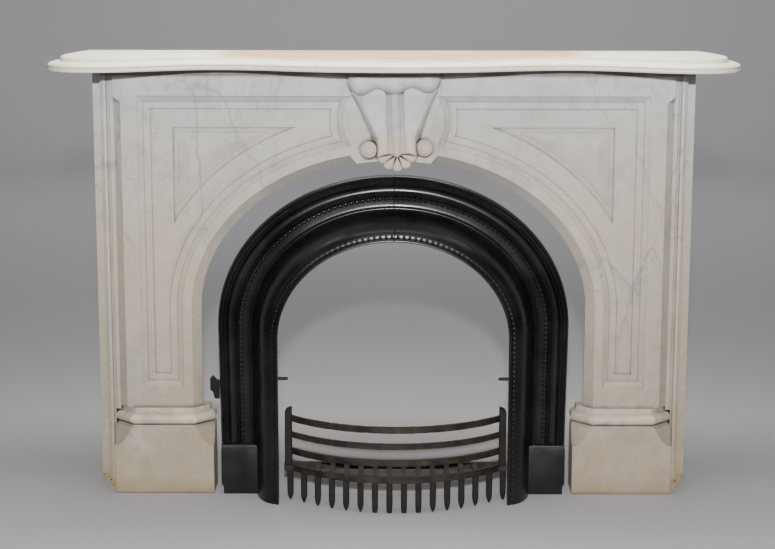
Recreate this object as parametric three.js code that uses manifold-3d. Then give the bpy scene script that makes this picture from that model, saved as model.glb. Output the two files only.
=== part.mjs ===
// A marble fireplace surround with its cast-iron arched insert and basket grate.
// Millimetres, +Z up, the room side faces -Y, and the object stands on Z = 0.
// While it is built, Y = 0 is the front face of the two marble front slabs.

import * as THREE from 'three';
import { mergeVertices } from 'three/addons/utils/BufferGeometryUtils.js';
import Module from 'manifold-3d';

const wasm = await Module();
wasm.setup();

// Driving dimensions

const GAP = 0.3;
const WALL_Y = 168;

// Shelf: a moulded slab whose front bows out at the centre and at both ends
const SHELF_BOTTOM = 1038;
const SHELF_TOP = 1071;
const SHELF_CENTRE_REACH = 172;
const SHELF_RECESS_REACH = 74;
const SHELF_LOBE_REACH = 190;
const SHELF_RECESS_X = 395;
const SHELF_LOBE_X = 690;
const SHELF_HALF_WIDTH = 809;
const SHELF_BACK_HALF_WIDTH = 784;
const SHELF_TIER_INSET = 34;

// Front slabs: the two halves of the arched front
const SLAB_HALF_WIDTH = 668;
const SLAB_THICKNESS = 30;
const SLAB_FOOT = 212;
const CORNER_CHAMFER = 18;
const CHAMFER_STOP_LOW = 957;
const CHAMFER_STOP_HIGH = 971;

// Arched opening: half an ellipse on straight legs
const OPENING_HALF_WIDTH = 467;
const OPENING_RISE = 362;
const SPRING_Z = 456;
const OPENING_BEVEL = 22;
const BEVEL_STOP_X = 88;

// Sunk panel that follows the opening, and its moulded frame
const PANEL_FROM_OPENING = 44;
const PANEL_OUTER_X = 611;
const PANEL_TOP = 972;
const PANEL_BOTTOM = 264;
const PANEL_END_CENTRE_X = 14;
const PANEL_END_CENTRE_Z = 914;
const PANEL_END_RADIUS = 107;
const PANEL_SPLAY = 13;
const PANEL_FRAME = 31;
const PANEL_DEPTH = 11;

// Three-sided sunk field in the spandrel with a raised, bevelled centre
const SPANDREL_FROM_OPENING = 118;
const SPANDREL_OUTER_X = 529;
const SPANDREL_TOP = 898;
const SPANDREL_MARGIN = 14;
const SPANDREL_BEVEL = 25;
const SPANDREL_DEPTH = 16;
const SPANDREL_CREST = 7.5;

// Plinth blocks with a rounded cap and broached corners
const BLOCK_INNER_X = 438;
const BLOCK_OUTER_X = 680;
const BLOCK_FRONT_Y = -25;
const BLOCK_BACK_Y = 60;
const BLOCK_CORNER = 42;
const BROACH_TIP = 121;
const BROACH_TOP = 166;
const CAP_BOTTOM = 170;

// Stepped returns at each side and the packing blocks under them
const RETURN_INNER_FRONT_Y = 18;
const RETURN_INNER_X = 701;
const RETURN_OUTER_FRONT_Y = 80;
const RETURN_OUTER_X = 728;
const RETURN_INNER_FOOT = 21;
const RETURN_OUTER_FOOT = 18;
const RETURN_GROOVE_X = 682;

// Keystone cartouche
const KEY_SCROLL_HALF_WIDTH = 110;
const KEY_SCROLL_BOTTOM = 979;
const KEY_SCROLL_REACH = 54;
const KEY_BODY_TOP_HALF_WIDTH = 101;
const KEY_BODY_FOOT_HALF_WIDTH = 47;
const KEY_BODY_NARROWED_Z = 875;
const KEY_BODY_FLARE = 12;
const KEY_BODY_FOOT = 833;
const KEY_BODY_REACH = 38;
const KEY_ROSETTE_X = 66;
const KEY_ROSETTE_Z = 849;
const KEY_ROSETTE_RADIUS = 21;
const KEY_SHELL_TOP = 842;
const KEY_SHELL_HALF_WIDTH = 50;
const KEY_SHELL_BOTTOM = 794;
const KEY_TURN = 2.2;

// Cast-iron insert: a moulded band swept round a fuller arch
const BAND_HALF_WIDTH = 425.5;
const BAND_FOOT_HALF_WIDTH = 419;
const BAND_SPRING_Z = 418;
const BAND_RISE = 366;
const BAND_SQUARENESS = 2.03;
const MOUTH_HALF_WIDTH = 274;
const MOUTH_SPRING_Z = 404;
const MOUTH_RISE = 235;
const MOUTH_SPLAY = 0.06;
const BAND_BACK_Y = 12;
const FOOT_INNER_X = 331;
const FOOT_OUTER_X = 420;
const FOOT_HEIGHT = 126;
const FOOT_FRONT_Y = -27;

// Basket grate: bowed bars between two posts, over a toothed floor grating
const GRATE_X = 6;
const POST_INNER_X = 250;
const POST_OUTER_X = 267;
const POST_TOP = 231;
const POST_FRONT_Y = -80;
const POST_BACK_Y = -62;
const BOW_FRONT_Y = -187;
const BOW_END_Y = -58;
const BAR_DEPTH = 10;
const BAR_HEIGHTS = [[196, 212], [157, 171], [115.5, 131]];
const GRATING_BOTTOM = 74;
const GRATING_TOP = 90;
const GRATING_BACK_Y = -64;
const TOOTH_COUNT = 16;
const TOOTH_PITCH = 34.3;
const TOOTH_SHIFT = 3;
const TOOTH_WIDTH = 15;
const TOOTH_TIP_Z = 2;

// Small helpers

const radians = (degrees) => degrees * Math.PI / 180;
const mix = (a, b, t) => a + (b - a) * t;
const clamped = (t) => Math.min(Math.max(t, 0), 1);

function solid(positions, triangles) {
  let volume = 0;
  const corner = (i) => new THREE.Vector3(...positions[i]);
  for (const [a, b, c] of triangles) {
    volume += corner(a).dot(corner(b).cross(corner(c)));
  }
  const faces = volume < 0 ? triangles.map(([a, b, c]) => [a, c, b]) : triangles;
  const geometry = new THREE.BufferGeometry();
  geometry.setAttribute('position', new THREE.Float32BufferAttribute(positions.flat(), 3));
  geometry.setIndex(faces.flat());
  return geometry;
}

// A closed solid through a stack of rings that have the same number of points.
// flat(point) gives the two coordinates in which the end rings are filled.
function loft(rings, flat) {
  const count = rings[0].length;
  const triangles = [];
  for (let level = 0; level + 1 < rings.length; level += 1) {
    for (let i = 0; i < count; i += 1) {
      const j = (i + 1) % count;
      const low = level * count;
      const high = low + count;
      triangles.push([low + i, low + j, high + j]);
      triangles.push([low + i, high + j, high + i]);
    }
  }
  const last = (rings.length - 1) * count;
  for (const [start, turned] of [[0, true], [last, false]]) {
    const outline = rings[start / count].map((point) => new THREE.Vector2(...flat(point)));
    const wound = THREE.ShapeUtils.isClockWise(outline);
    for (const [a, b, c] of THREE.ShapeUtils.triangulateShape(outline, [])) {
      const face = [start + a, start + b, start + c];
      const faceTurned = [start + a, start + c, start + b];
      triangles.push(turned === wound ? face : faceTurned);
    }
  }
  return solid(rings.flat(), triangles);
}

const alongY = (rings) => loft(rings, ([x, , z]) => [x, z]);
const alongZ = (rings) => loft(rings, ([x, y]) => [x, y]);

function box(low, high) {
  const size = low.map((value, axis) => high[axis] - value);
  const centre = low.map((value, axis) => (high[axis] + value) / 2);
  return new THREE.BoxGeometry(...size).translate(...centre);
}

function manifold(geometry) {
  const bare = geometry.clone();
  bare.deleteAttribute('normal');
  bare.deleteAttribute('uv');
  const merged = mergeVertices(bare, 1e-4);
  return new wasm.Manifold(new wasm.Mesh({
    numProp: 3,
    vertProperties: new Float32Array(merged.attributes.position.array),
    triVerts: new Uint32Array(merged.index.array),
  }));
}

function geometryOf(body) {
  const mesh = body.getMesh();
  const geometry = new THREE.BufferGeometry();
  geometry.setAttribute('position', new THREE.Float32BufferAttribute(mesh.vertProperties, 3));
  geometry.setIndex(Array.from(mesh.triVerts));
  return geometry;
}

function mirrored(geometry) {
  const copy = geometry.clone().scale(-1, 1, 1);
  const index = Array.from(copy.index.array);
  for (let i = 0; i < index.length; i += 3) {
    [index[i], index[i + 1]] = [index[i + 1], index[i]];
  }
  copy.setIndex(index);
  return copy;
}

// The shelf

function shelfPlan(steps) {
  const middleX = SHELF_RECESS_X / 2;
  const points = [
    [0, -SHELF_CENTRE_REACH],
    [middleX * 0.6, mix(-SHELF_CENTRE_REACH, -SHELF_RECESS_REACH, 0.1)],
    [middleX * 1.1, mix(-SHELF_CENTRE_REACH, -SHELF_RECESS_REACH, 0.4)],
    [middleX * 1.55, mix(-SHELF_CENTRE_REACH, -SHELF_RECESS_REACH, 0.8)],
    [SHELF_RECESS_X, -SHELF_RECESS_REACH],
    [mix(SHELF_RECESS_X, SHELF_LOBE_X, 0.27), mix(-SHELF_RECESS_REACH, -SHELF_LOBE_REACH, 0.1)],
    [mix(SHELF_RECESS_X, SHELF_LOBE_X, 0.54), mix(-SHELF_RECESS_REACH, -SHELF_LOBE_REACH, 0.48)],
    [mix(SHELF_RECESS_X, SHELF_LOBE_X, 0.78), mix(-SHELF_RECESS_REACH, -SHELF_LOBE_REACH, 0.85)],
    [SHELF_LOBE_X, -SHELF_LOBE_REACH],
    [mix(SHELF_LOBE_X, SHELF_HALF_WIDTH, 0.47), 12 - SHELF_LOBE_REACH],
    [mix(SHELF_LOBE_X, SHELF_HALF_WIDTH, 0.8), 48 - SHELF_LOBE_REACH],
    [SHELF_HALF_WIDTH - 6, 95 - SHELF_LOBE_REACH],
    [SHELF_HALF_WIDTH, 145 - SHELF_LOBE_REACH],
    [SHELF_HALF_WIDTH - 4, mix(-45, WALL_Y, 0.3)],
    [mix(SHELF_HALF_WIDTH, SHELF_BACK_HALF_WIDTH, 0.5), mix(-45, WALL_Y, 0.65)],
    [SHELF_BACK_HALF_WIDTH, WALL_Y],
  ].map(([x, y]) => new THREE.Vector3(x, y, 0));
  const half = new THREE.CatmullRomCurve3(points, false, 'centripetal').getSpacedPoints(steps);
  const left = half.slice(1).reverse().map((point) => new THREE.Vector3(-point.x, point.y, 0));
  return [...left, ...half];
}

function shelfRing(plan, inset, z) {
  const last = plan.length - 1;
  return plan.map((point, i) => {
    const before = plan[Math.max(i - 1, 0)];
    const after = plan[Math.min(i + 1, last)];
    const along = after.clone().sub(before).normalize();
    const x = point.x - along.y * inset;
    const y = point.y + along.x * inset;
    const atWall = i === 0 || i === last;
    return [x, atWall ? WALL_Y : y, z];
  });
}

function shelf() {
  const plan = shelfPlan(34);
  const thickness = SHELF_TOP - SHELF_BOTTOM;
  const profile = [
    [4, 0],
    [0.5, 2],
    [0, 7.5],
    [4.5, 9.2],
    [1, 11.5],
    [3, 16],
    [13, 20],
    [25, 22.5],
    [SHELF_TIER_INSET + 2, 23.5],
    [SHELF_TIER_INSET - 2, 26],
    [SHELF_TIER_INSET - 2, 29.5],
    [SHELF_TIER_INSET + 3, thickness],
  ];
  return alongZ(profile.map(([inset, rise]) => shelfRing(plan, inset, SHELF_BOTTOM + rise)));
}

// Contours of the front slab, for the half where X is positive

function archPoint(angle, offset) {
  const c = Math.cos(angle);
  const s = Math.sin(angle);
  const length = Math.hypot(c / OPENING_HALF_WIDTH, s / OPENING_RISE);
  const x = OPENING_HALF_WIDTH * c + offset * c / OPENING_HALF_WIDTH / length;
  const z = SPRING_Z + OPENING_RISE * s + offset * s / OPENING_RISE / length;
  return [x, z];
}

// The angle between low and high where test(angle) changes from true to false.
function turningAngle(low, high, test) {
  let a = low;
  let b = high;
  for (let i = 0; i < 50; i += 1) {
    const middle = (a + b) / 2;
    if (test(middle)) {
      a = middle;
    } else {
      b = middle;
    }
  }
  return a;
}

function archRun(from, to, offset, steps) {
  const run = [];
  for (let i = 0; i <= steps; i += 1) {
    run.push(archPoint(mix(from, to, i / steps), offset));
  }
  return run;
}

const QUARTER = Math.PI / 2;

function bevelEnd(offset) {
  const stopX = BEVEL_STOP_X + offset * 0.77;
  return turningAngle(0, QUARTER, (angle) => archPoint(angle, offset)[0] > stopX);
}

function bevelContour(offset) {
  const [tipX, tipZ] = archPoint(bevelEnd(0), 0);
  return [
    [OPENING_HALF_WIDTH + offset, 200],
    ...archRun(0, bevelEnd(offset), offset, 28),
    [tipX, tipZ - 1],
    [tipX, tipZ - 60],
    [300, 200],
  ];
}

// The plain opening keeps the points of the bevel, so that the two cuts share their edges.
function openingContour() {
  const end = bevelEnd(0);
  return [
    [OPENING_HALF_WIDTH, 200],
    ...archRun(0, end, 0, 28),
    ...archRun(end, QUARTER, 0, 5).slice(1, -1),
    [-5, SPRING_Z + OPENING_RISE],
    [-5, 200],
  ];
}

function panelContour(inset) {
  const offset = PANEL_FROM_OPENING + inset;
  const radius = PANEL_END_RADIUS + inset;
  const away = ([x, z]) => Math.hypot(x - PANEL_END_CENTRE_X, z - PANEL_END_CENTRE_Z);
  const end = turningAngle(0, QUARTER, (angle) => away(archPoint(angle, offset)) > radius);
  const [endX, endZ] = archPoint(end, offset);
  const from = Math.atan2(endZ - PANEL_END_CENTRE_Z, endX - PANEL_END_CENTRE_X);
  const to = Math.asin((PANEL_TOP - inset - PANEL_END_CENTRE_Z) / radius);
  const curvedEnd = [];
  for (let i = 1; i <= 8; i += 1) {
    const angle = mix(from, to, i / 8);
    curvedEnd.push([
      PANEL_END_CENTRE_X + radius * Math.cos(angle),
      PANEL_END_CENTRE_Z + radius * Math.sin(angle),
    ]);
  }
  return [
    [OPENING_HALF_WIDTH + offset, PANEL_BOTTOM + inset],
    ...archRun(0, end, offset, 24),
    ...curvedEnd,
    [PANEL_OUTER_X - inset, PANEL_TOP - inset],
    [PANEL_OUTER_X - inset, PANEL_BOTTOM + inset],
  ];
}

function spandrelContour(inset) {
  const offset = SPANDREL_FROM_OPENING + inset;
  const side = SPANDREL_OUTER_X - inset;
  const top = SPANDREL_TOP - inset;
  const from = turningAngle(0, QUARTER, (angle) => archPoint(angle, offset)[0] > side);
  const to = turningAngle(0, QUARTER, (angle) => archPoint(angle, offset)[1] < top);
  return [...archRun(from, to, offset, 16), [side, top]];
}

const atDepth = (contour, y) => contour.map(([x, z]) => [x, y, z]);

function chamferRing(width, z) {
  return [
    [SLAB_HALF_WIDTH + 2, -2, z],
    [SLAB_HALF_WIDTH - width, -2, z],
    [SLAB_HALF_WIDTH - width, 0, z],
    [SLAB_HALF_WIDTH, width, z],
    [SLAB_HALF_WIDTH + 2, width, z],
  ];
}

function frontSlab() {
  const body = box(
    [GAP / 2, 0, SLAB_FOOT + GAP],
    [SLAB_HALF_WIDTH, SLAB_THICKNESS, SHELF_BOTTOM - GAP],
  );
  const opening = alongY([
    atDepth(openingContour(), -5),
    atDepth(openingContour(), SLAB_THICKNESS + 5),
  ]);
  const openingBevel = alongY([
    atDepth(bevelContour(OPENING_BEVEL + 2), -2),
    atDepth(bevelContour(0), OPENING_BEVEL),
  ]);
  const corner = alongZ([
    chamferRing(CORNER_CHAMFER, SLAB_FOOT - 10),
    chamferRing(CORNER_CHAMFER, CHAMFER_STOP_LOW),
    chamferRing(0.3, CHAMFER_STOP_HIGH),
  ]);
  const panel = alongY([
    atDepth(panelContour(0), -2),
    atDepth(panelContour(0), 0.5),
    atDepth(panelContour(PANEL_SPLAY), 6.5),
    atDepth(panelContour(PANEL_SPLAY + 0.6), 8.5),
    atDepth(panelContour(PANEL_FRAME - 0.6), 7.5),
    atDepth(panelContour(PANEL_FRAME), PANEL_DEPTH),
  ]);
  const spandrel = alongY([
    atDepth(spandrelContour(0), 0),
    atDepth(spandrelContour(1), SPANDREL_DEPTH),
  ]);
  const crest = alongY([
    atDepth(spandrelContour(SPANDREL_MARGIN), SPANDREL_DEPTH + 3),
    atDepth(spandrelContour(SPANDREL_MARGIN), SPANDREL_DEPTH - 1.5),
    atDepth(spandrelContour(SPANDREL_MARGIN + SPANDREL_BEVEL), SPANDREL_CREST),
  ]);
  return geometryOf(
    manifold(body)
      .subtract(manifold(opening))
      .subtract(manifold(openingBevel))
      .subtract(manifold(corner))
      .subtract(manifold(panel))
      .subtract(manifold(spandrel))
      .add(manifold(crest)),
  );
}

// A plinth block: plan rings with two clipped front corners, stacked upwards

function plinthRing(spread, clip, z) {
  const inner = BLOCK_INNER_X - spread;
  const outer = BLOCK_OUTER_X + spread;
  const front = BLOCK_FRONT_Y - spread;
  return [
    [inner, BLOCK_BACK_Y, z],
    [inner, front + clip, z],
    [inner + clip, front, z],
    [outer - clip, front, z],
    [outer, front + clip, z],
    [outer, BLOCK_BACK_Y, z],
  ];
}

function plinth() {
  const rings = [plinthRing(0, 0.4, 0), plinthRing(0, 0.4, BROACH_TIP)];
  for (const part of [0.35, 0.7, 1]) {
    const clip = BLOCK_CORNER * Math.sqrt(part);
    rings.push(plinthRing(0, clip, mix(BROACH_TIP, BROACH_TOP, part)));
  }
  rings.push(plinthRing(-4, BLOCK_CORNER, CAP_BOTTOM - 0.5));
  rings.push(plinthRing(-4, BLOCK_CORNER, CAP_BOTTOM + 1));
  const radius = 14;
  for (let angle = -75; angle <= 75; angle += 25) {
    const spread = 1 - radius + radius * Math.cos(radians(angle));
    const z = CAP_BOTTOM + 16 + radius * Math.sin(radians(angle));
    rings.push(plinthRing(spread, BLOCK_CORNER, z));
  }
  rings.push(plinthRing(-13, BLOCK_CORNER - 4, CAP_BOTTOM + 32));
  rings.push(plinthRing(-13, BLOCK_CORNER - 4, SLAB_FOOT));
  return alongZ(rings);
}

// Stepped returns

function innerReturn() {
  const inner = SLAB_HALF_WIDTH + GAP;
  const front = RETURN_INNER_FRONT_Y;
  const plan = [
    [inner, front],
    [RETURN_GROOVE_X - 4, front],
    [RETURN_GROOVE_X - 3, front + 4],
    [RETURN_GROOVE_X + 3, front + 4],
    [RETURN_GROOVE_X + 5, front],
    [RETURN_INNER_X - 6, front],
    [RETURN_INNER_X - 5, front + 6],
    [RETURN_INNER_X, front + 7],
    [RETURN_INNER_X, WALL_Y],
    [inner, WALL_Y],
  ];
  const ring = (z) => plan.map(([x, y]) => [x, y, z]);
  const strip = manifold(alongZ([ring(RETURN_INNER_FOOT), ring(SHELF_BOTTOM - GAP)]));
  const notch = box([600, -50, -10], [BLOCK_OUTER_X + 1 + GAP, BLOCK_BACK_Y + GAP, CAP_BOTTOM + 33]);
  return geometryOf(strip.subtract(manifold(notch)));
}

function outerReturn() {
  return box(
    [RETURN_INNER_X + GAP, RETURN_OUTER_FRONT_Y, RETURN_OUTER_FOOT],
    [RETURN_OUTER_X, WALL_Y, SHELF_BOTTOM - GAP],
  );
}

function innerPacking() {
  return box(
    [BLOCK_OUTER_X + 2, RETURN_INNER_FRONT_Y + 3, 0],
    [RETURN_INNER_X - 4, RETURN_INNER_FRONT_Y + 60, RETURN_INNER_FOOT - GAP],
  );
}

function outerPacking() {
  return box(
    [RETURN_INNER_X + 3, RETURN_OUTER_FRONT_Y + 2, 0],
    [RETURN_OUTER_X - 4, RETURN_OUTER_FRONT_Y + 50, RETURN_OUTER_FOOT - GAP],
  );
}

// Keystone: a rolled scroll over a fluted body, with two rosettes and a shell

const scrollWave = (x) => Math.cos(x / KEY_SCROLL_HALF_WIDTH * Math.PI * 2.75);

// The roll lies along X; its lobes swell where its lower edge dips.
function scroll() {
  const top = SHELF_BOTTOM + 6;
  const across = 24;
  const rings = [];
  for (let i = 0; i <= across; i += 1) {
    const x = KEY_SCROLL_HALF_WIDTH * Math.sin(mix(-QUARTER, QUARTER, i / across));
    const share = Math.abs(x) / KEY_SCROLL_HALF_WIDTH;
    const end = Math.sqrt(Math.max(1 - (Math.max(share - 0.78, 0) / 0.22) ** 2, 0.02));
    const low = mix(top - 33, KEY_SCROLL_BOTTOM + 5 - 5 * scrollWave(x), end);
    const high = mix(top - 33, top, end);
    const reach = (KEY_SCROLL_REACH - 3.2 + 3.2 * scrollWave(x)) * mix(0.55, 1, end);
    const ring = [[x, -GAP, high], [x, -GAP, low]];
    for (let k = 0; k <= 6; k += 1) {
      const angle = mix(-QUARTER, QUARTER, k / 6);
      const y = -(reach - 17 * (1 - Math.cos(angle)));
      ring.push([x, y, (low + high) / 2 + (high - low) / 2 * Math.sin(angle)]);
    }
    rings.push(ring);
  }
  return loft(rings, ([, y, z]) => [y, z]);
}

// 0 under the scroll, 1 where the sides have run together and go straight down.
function bodyNarrowing(z) {
  const start = KEY_SCROLL_BOTTOM + 4;
  return clamped((start - z) / (start - KEY_BODY_NARROWED_Z));
}

function bodyHalfWidth(z) {
  return mix(KEY_BODY_TOP_HALF_WIDTH, KEY_BODY_FOOT_HALF_WIDTH, bodyNarrowing(z) ** 0.95);
}

// The lower edge has a tip at the centre and an arched end under each flute.
function bodyFoot(share) {
  const arch = Math.sin(Math.PI * Math.min(share * 1.08, 1)) ** 0.8;
  return KEY_BODY_FOOT - 4 + 9 * arch + 3 * share ** 3;
}

function bodyReach(share, x, z) {
  const down = (KEY_SCROLL_BOTTOM - z) / (KEY_SCROLL_BOTTOM - KEY_BODY_FOOT);
  const sweep = KEY_BODY_REACH - 12 * Math.sin(Math.PI * clamped(down));
  const rib = 4.5 * Math.exp(-((x / 6) ** 2));
  const valley = -4.5 * Math.exp(-(((Math.abs(x) - 13) / 7) ** 2));
  const flute = 2.4 * Math.sin(Math.PI * clamped((share - 0.12) / 0.88));
  const edge = -6 * Math.max((share - 0.86) / 0.14, 0) ** 2;
  return sweep + rib + valley + flute - 1 + edge;
}

function keyBody() {
  const shares = [-1, -0.93, -0.82, -0.66, -0.5, -0.36, -0.26, -0.17, -0.1, -0.04];
  const across = [...shares, ...shares.map((share) => -share).reverse()];
  const levels = [0, 0.02, 0.07, 0.15, 0.25, 0.38, 0.52, 0.68, 0.84, 1];
  return alongZ(levels.map((level) => {
    const front = across.map((signed) => {
      const share = Math.abs(signed);
      const foot = bodyFoot(share);
      const z = mix(foot, KEY_SCROLL_BOTTOM + 14, level);
      const x = signed * bodyHalfWidth(z);
      const roundFoot = 4 * (1 - clamped((z - foot) / 7)) ** 2;
      return [x, roundFoot - bodyReach(share, x, z), z];
    });
    const back = [...front].reverse().map(([x, , z]) => {
      const wider = 1 + KEY_BODY_FLARE * bodyNarrowing(z) ** 1.2 / bodyHalfWidth(z);
      return [x * wider, -GAP, z];
    });
    return [...front, ...back];
  }));
}

function rosette(side) {
  const r = KEY_ROSETTE_RADIUS;
  const profile = [
    [0, 2],
    [r * 0.9, 2],
    [r, 8],
    [r, 22],
    [r * 0.93, 28],
    [r * 0.75, 33],
    [r * 0.5, 36],
    [r * 0.25, 37.5],
    [0, 38],
  ].map(([radius, reach]) => new THREE.Vector2(radius, reach));
  const turned = new THREE.LatheGeometry(profile, 16).rotateX(Math.PI);
  return turned.translate(side * KEY_ROSETTE_X, 0, KEY_ROSETTE_Z);
}

function shellOutline() {
  const outline = [];
  const petals = 5;
  for (let i = 0; i <= 30; i += 1) {
    const angle = Math.PI * i / 30;
    const scallop = 1 - 0.12 * (1 - Math.abs(Math.sin(angle * petals)));
    outline.push([
      -KEY_SHELL_HALF_WIDTH * Math.cos(angle) * scallop,
      838 - (838 - KEY_SHELL_BOTTOM) * Math.sin(angle) * scallop,
    ]);
  }
  return outline;
}

function shell() {
  const shrunk = (scale) => shellOutline().map(([x, z]) => [x * scale, mix(838, z, scale)]);
  return alongY([
    atDepth(shellOutline(), -GAP),
    atDepth(shellOutline(), -20),
    atDepth(shrunk(0.9), -26),
    atDepth(shrunk(0.65), -29),
  ]);
}

// The whole carving stands a little askew and is cut off under the shelf.
function keystone() {
  const top = SHELF_BOTTOM - GAP;
  let whole = manifold(scroll()).add(manifold(keyBody())).add(manifold(shell()));
  for (const side of [-1, 1]) {
    whole = whole.add(manifold(rosette(side)));
  }
  const turned = whole.translate([0, 0, -top]).rotate([0, -KEY_TURN, 0]).translate([0, 0, top]);
  return geometryOf(turned.subtract(manifold(box([-200, -100, top], [200, 20, top + 60]))));
}

// Cast-iron insert: across is 0 at the outer edge and 1 at the mouth

const BAND_SECTION = [
  [0, 6],
  [0.01, -11],
  [0.03, -18],
  [0.042, -20],
  [0.065, -17.5],
  [0.1, -20],
  [0.13, -24],
  [0.16, -18],
  [0.2, -14.5],
  [0.27, -17],
  [0.3, -22.5],
  [0.33, -18],
  [0.42, -17.5],
  [0.51, -18.5],
  [0.527, -21.5],
  [0.56, -26],
  [0.6, -37],
  [0.64, -58],
  [0.7, -79],
  [0.78, -97],
  [0.87, -108],
  [0.94, -113],
  [0.985, -116],
  [1, -108],
];

function bandStation(position) {
  if (position < 0) {
    const drop = -position;
    return {
      outer: [mix(BAND_HALF_WIDTH, BAND_FOOT_HALF_WIDTH, drop), mix(BAND_SPRING_Z, 0, drop)],
      inner: [MOUTH_HALF_WIDTH, mix(MOUTH_SPRING_Z, 0, drop)],
    };
  }
  const c = Math.cos(position);
  const s = Math.sin(position);
  const power = 2 / BAND_SQUARENESS;
  const signed = Math.sign(c) * Math.abs(c) ** power;
  return {
    outer: [BAND_HALF_WIDTH * signed, BAND_SPRING_Z + BAND_RISE * Math.abs(s) ** power],
    inner: [MOUTH_HALF_WIDTH * c, MOUTH_SPRING_Z + MOUTH_RISE * s],
  };
}

function bandRing(position, side) {
  const { outer, inner } = bandStation(position);
  const profile = [...BAND_SECTION, [1 - MOUTH_SPLAY, BAND_BACK_Y], [0, BAND_BACK_Y]];
  return profile.map(([across, y]) => [
    side * mix(outer[0], inner[0], across),
    y,
    mix(outer[1], inner[1], across),
  ]);
}

function insertBand() {
  const rings = [bandRing(-1, 1)];
  const steps = 32;
  for (let i = 0; i <= steps; i += 1) {
    rings.push(bandRing(Math.PI * i / steps, 1));
  }
  rings.push(bandRing(-1, -1));
  const whole = manifold(loft(rings, ([x, y]) => [x, y]));
  const reach = BAND_HALF_WIDTH + 20;
  const cuts = [-1, 1].map((side) => box(
    [Math.min(side * (FOOT_INNER_X - GAP), side * reach), -200, -5],
    [Math.max(side * (FOOT_INNER_X - GAP), side * reach), 50, FOOT_HEIGHT + GAP],
  ));
  return geometryOf(whole.subtract(manifold(cuts[0])).subtract(manifold(cuts[1])));
}

function insertFoot() {
  const levels = [
    [5, 0, 0],
    [5, 0, 22],
    [0, 0, 26],
    [0, 0, FOOT_HEIGHT - 8],
    [3, 3, FOOT_HEIGHT - 3],
    [3, 3, FOOT_HEIGHT],
  ];
  return alongZ(levels.map(([outerInset, frontInset, z]) => [
    [FOOT_INNER_X, BAND_BACK_Y, z],
    [FOOT_INNER_X, FOOT_FRONT_Y + frontInset, z],
    [FOOT_OUTER_X - outerInset, FOOT_FRONT_Y + frontInset, z],
    [FOOT_OUTER_X - outerInset, BAND_BACK_Y, z],
  ]));
}

function sideBracket() {
  const edge = -(mix(BAND_HALF_WIDTH, BAND_FOOT_HALF_WIDTH, 0.3) + GAP);
  const outline = [
    [edge, 236],
    [edge - 10, 236],
    [edge - 14, 244],
    [edge - 14, 252],
    [edge - 22, 256],
    [edge - 22, 288],
    [edge - 14, 292],
    [edge - 8, 284],
    [edge, 280],
  ];
  return alongY([atDepth(outline, -14), atDepth(outline, 2)]);
}

function peg(side) {
  const start = MOUTH_HALF_WIDTH + 6.5;
  const end = MOUTH_HALF_WIDTH - 18;
  const rod = new THREE.CylinderGeometry(4, 4, start - end, 12).rotateZ(Math.PI / 2);
  return rod.translate(side * (start + end) / 2, -12, 287);
}

// Basket grate

const BOW_SAGITTA = BOW_END_Y - BOW_FRONT_Y;
const BOW_RADIUS = (POST_OUTER_X ** 2 + BOW_SAGITTA ** 2) / (2 * BOW_SAGITTA);

const bowY = (x) => BOW_FRONT_Y + BOW_RADIUS - Math.sqrt(BOW_RADIUS ** 2 - x * x);

function post(side) {
  const outline = [
    [POST_INNER_X, GRATING_TOP + GAP],
    [POST_INNER_X, POST_TOP],
    [POST_INNER_X + 5, POST_TOP],
    [POST_INNER_X + 11, POST_TOP - 5],
    [POST_OUTER_X, POST_TOP - 16],
    [POST_OUTER_X, GRATING_TOP + GAP],
  ].map(([x, z]) => [GRATE_X + side * x, z]);
  return alongY([atDepth(outline, POST_FRONT_Y), atDepth(outline, POST_BACK_Y)]);
}

function bowedBar(low, high) {
  const rings = [];
  const reach = POST_INNER_X - GAP;
  const steps = 24;
  for (let i = 0; i <= steps; i += 1) {
    const x = mix(-reach, reach, i / steps);
    const front = bowY(x);
    rings.push([
      [GRATE_X + x, front, low + 1],
      [GRATE_X + x, front + BAR_DEPTH, low],
      [GRATE_X + x, front + BAR_DEPTH, high],
      [GRATE_X + x, front, high - 1],
    ]);
  }
  return loft(rings, ([, y, z]) => [y, z]);
}

// The rim follows the bars and runs on under the posts.
const rimY = (x) => Math.min(bowY(x), POST_FRONT_Y);

function gratingRing(z) {
  const ring = [];
  const reach = POST_OUTER_X + 2;
  const steps = 24;
  for (let i = 0; i <= steps; i += 1) {
    const x = mix(-reach, reach, i / steps);
    ring.push([GRATE_X + x, rimY(x), z]);
  }
  ring.push([GRATE_X + reach, GRATING_BACK_Y + 14, z]);
  ring.push([GRATE_X - reach, GRATING_BACK_Y + 14, z]);
  return ring;
}

function grating() {
  let whole = manifold(alongZ([gratingRing(GRATING_BOTTOM), gratingRing(GRATING_TOP)]));
  for (let i = 0; i + 1 < TOOTH_COUNT; i += 1) {
    const x = (i - TOOTH_COUNT / 2 + 1) * TOOTH_PITCH + TOOTH_SHIFT;
    const front = Math.max(rimY(x - 12), rimY(x + 12)) + 13;
    const back = GRATING_BACK_Y + 2;
    if (back - front > 12) {
      const slot = box(
        [GRATE_X + x - 11, front, GRATING_BOTTOM - 5],
        [GRATE_X + x + 11, back, GRATING_TOP + 5],
      );
      whole = whole.subtract(manifold(slot));
    }
  }
  return geometryOf(whole);
}

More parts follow.
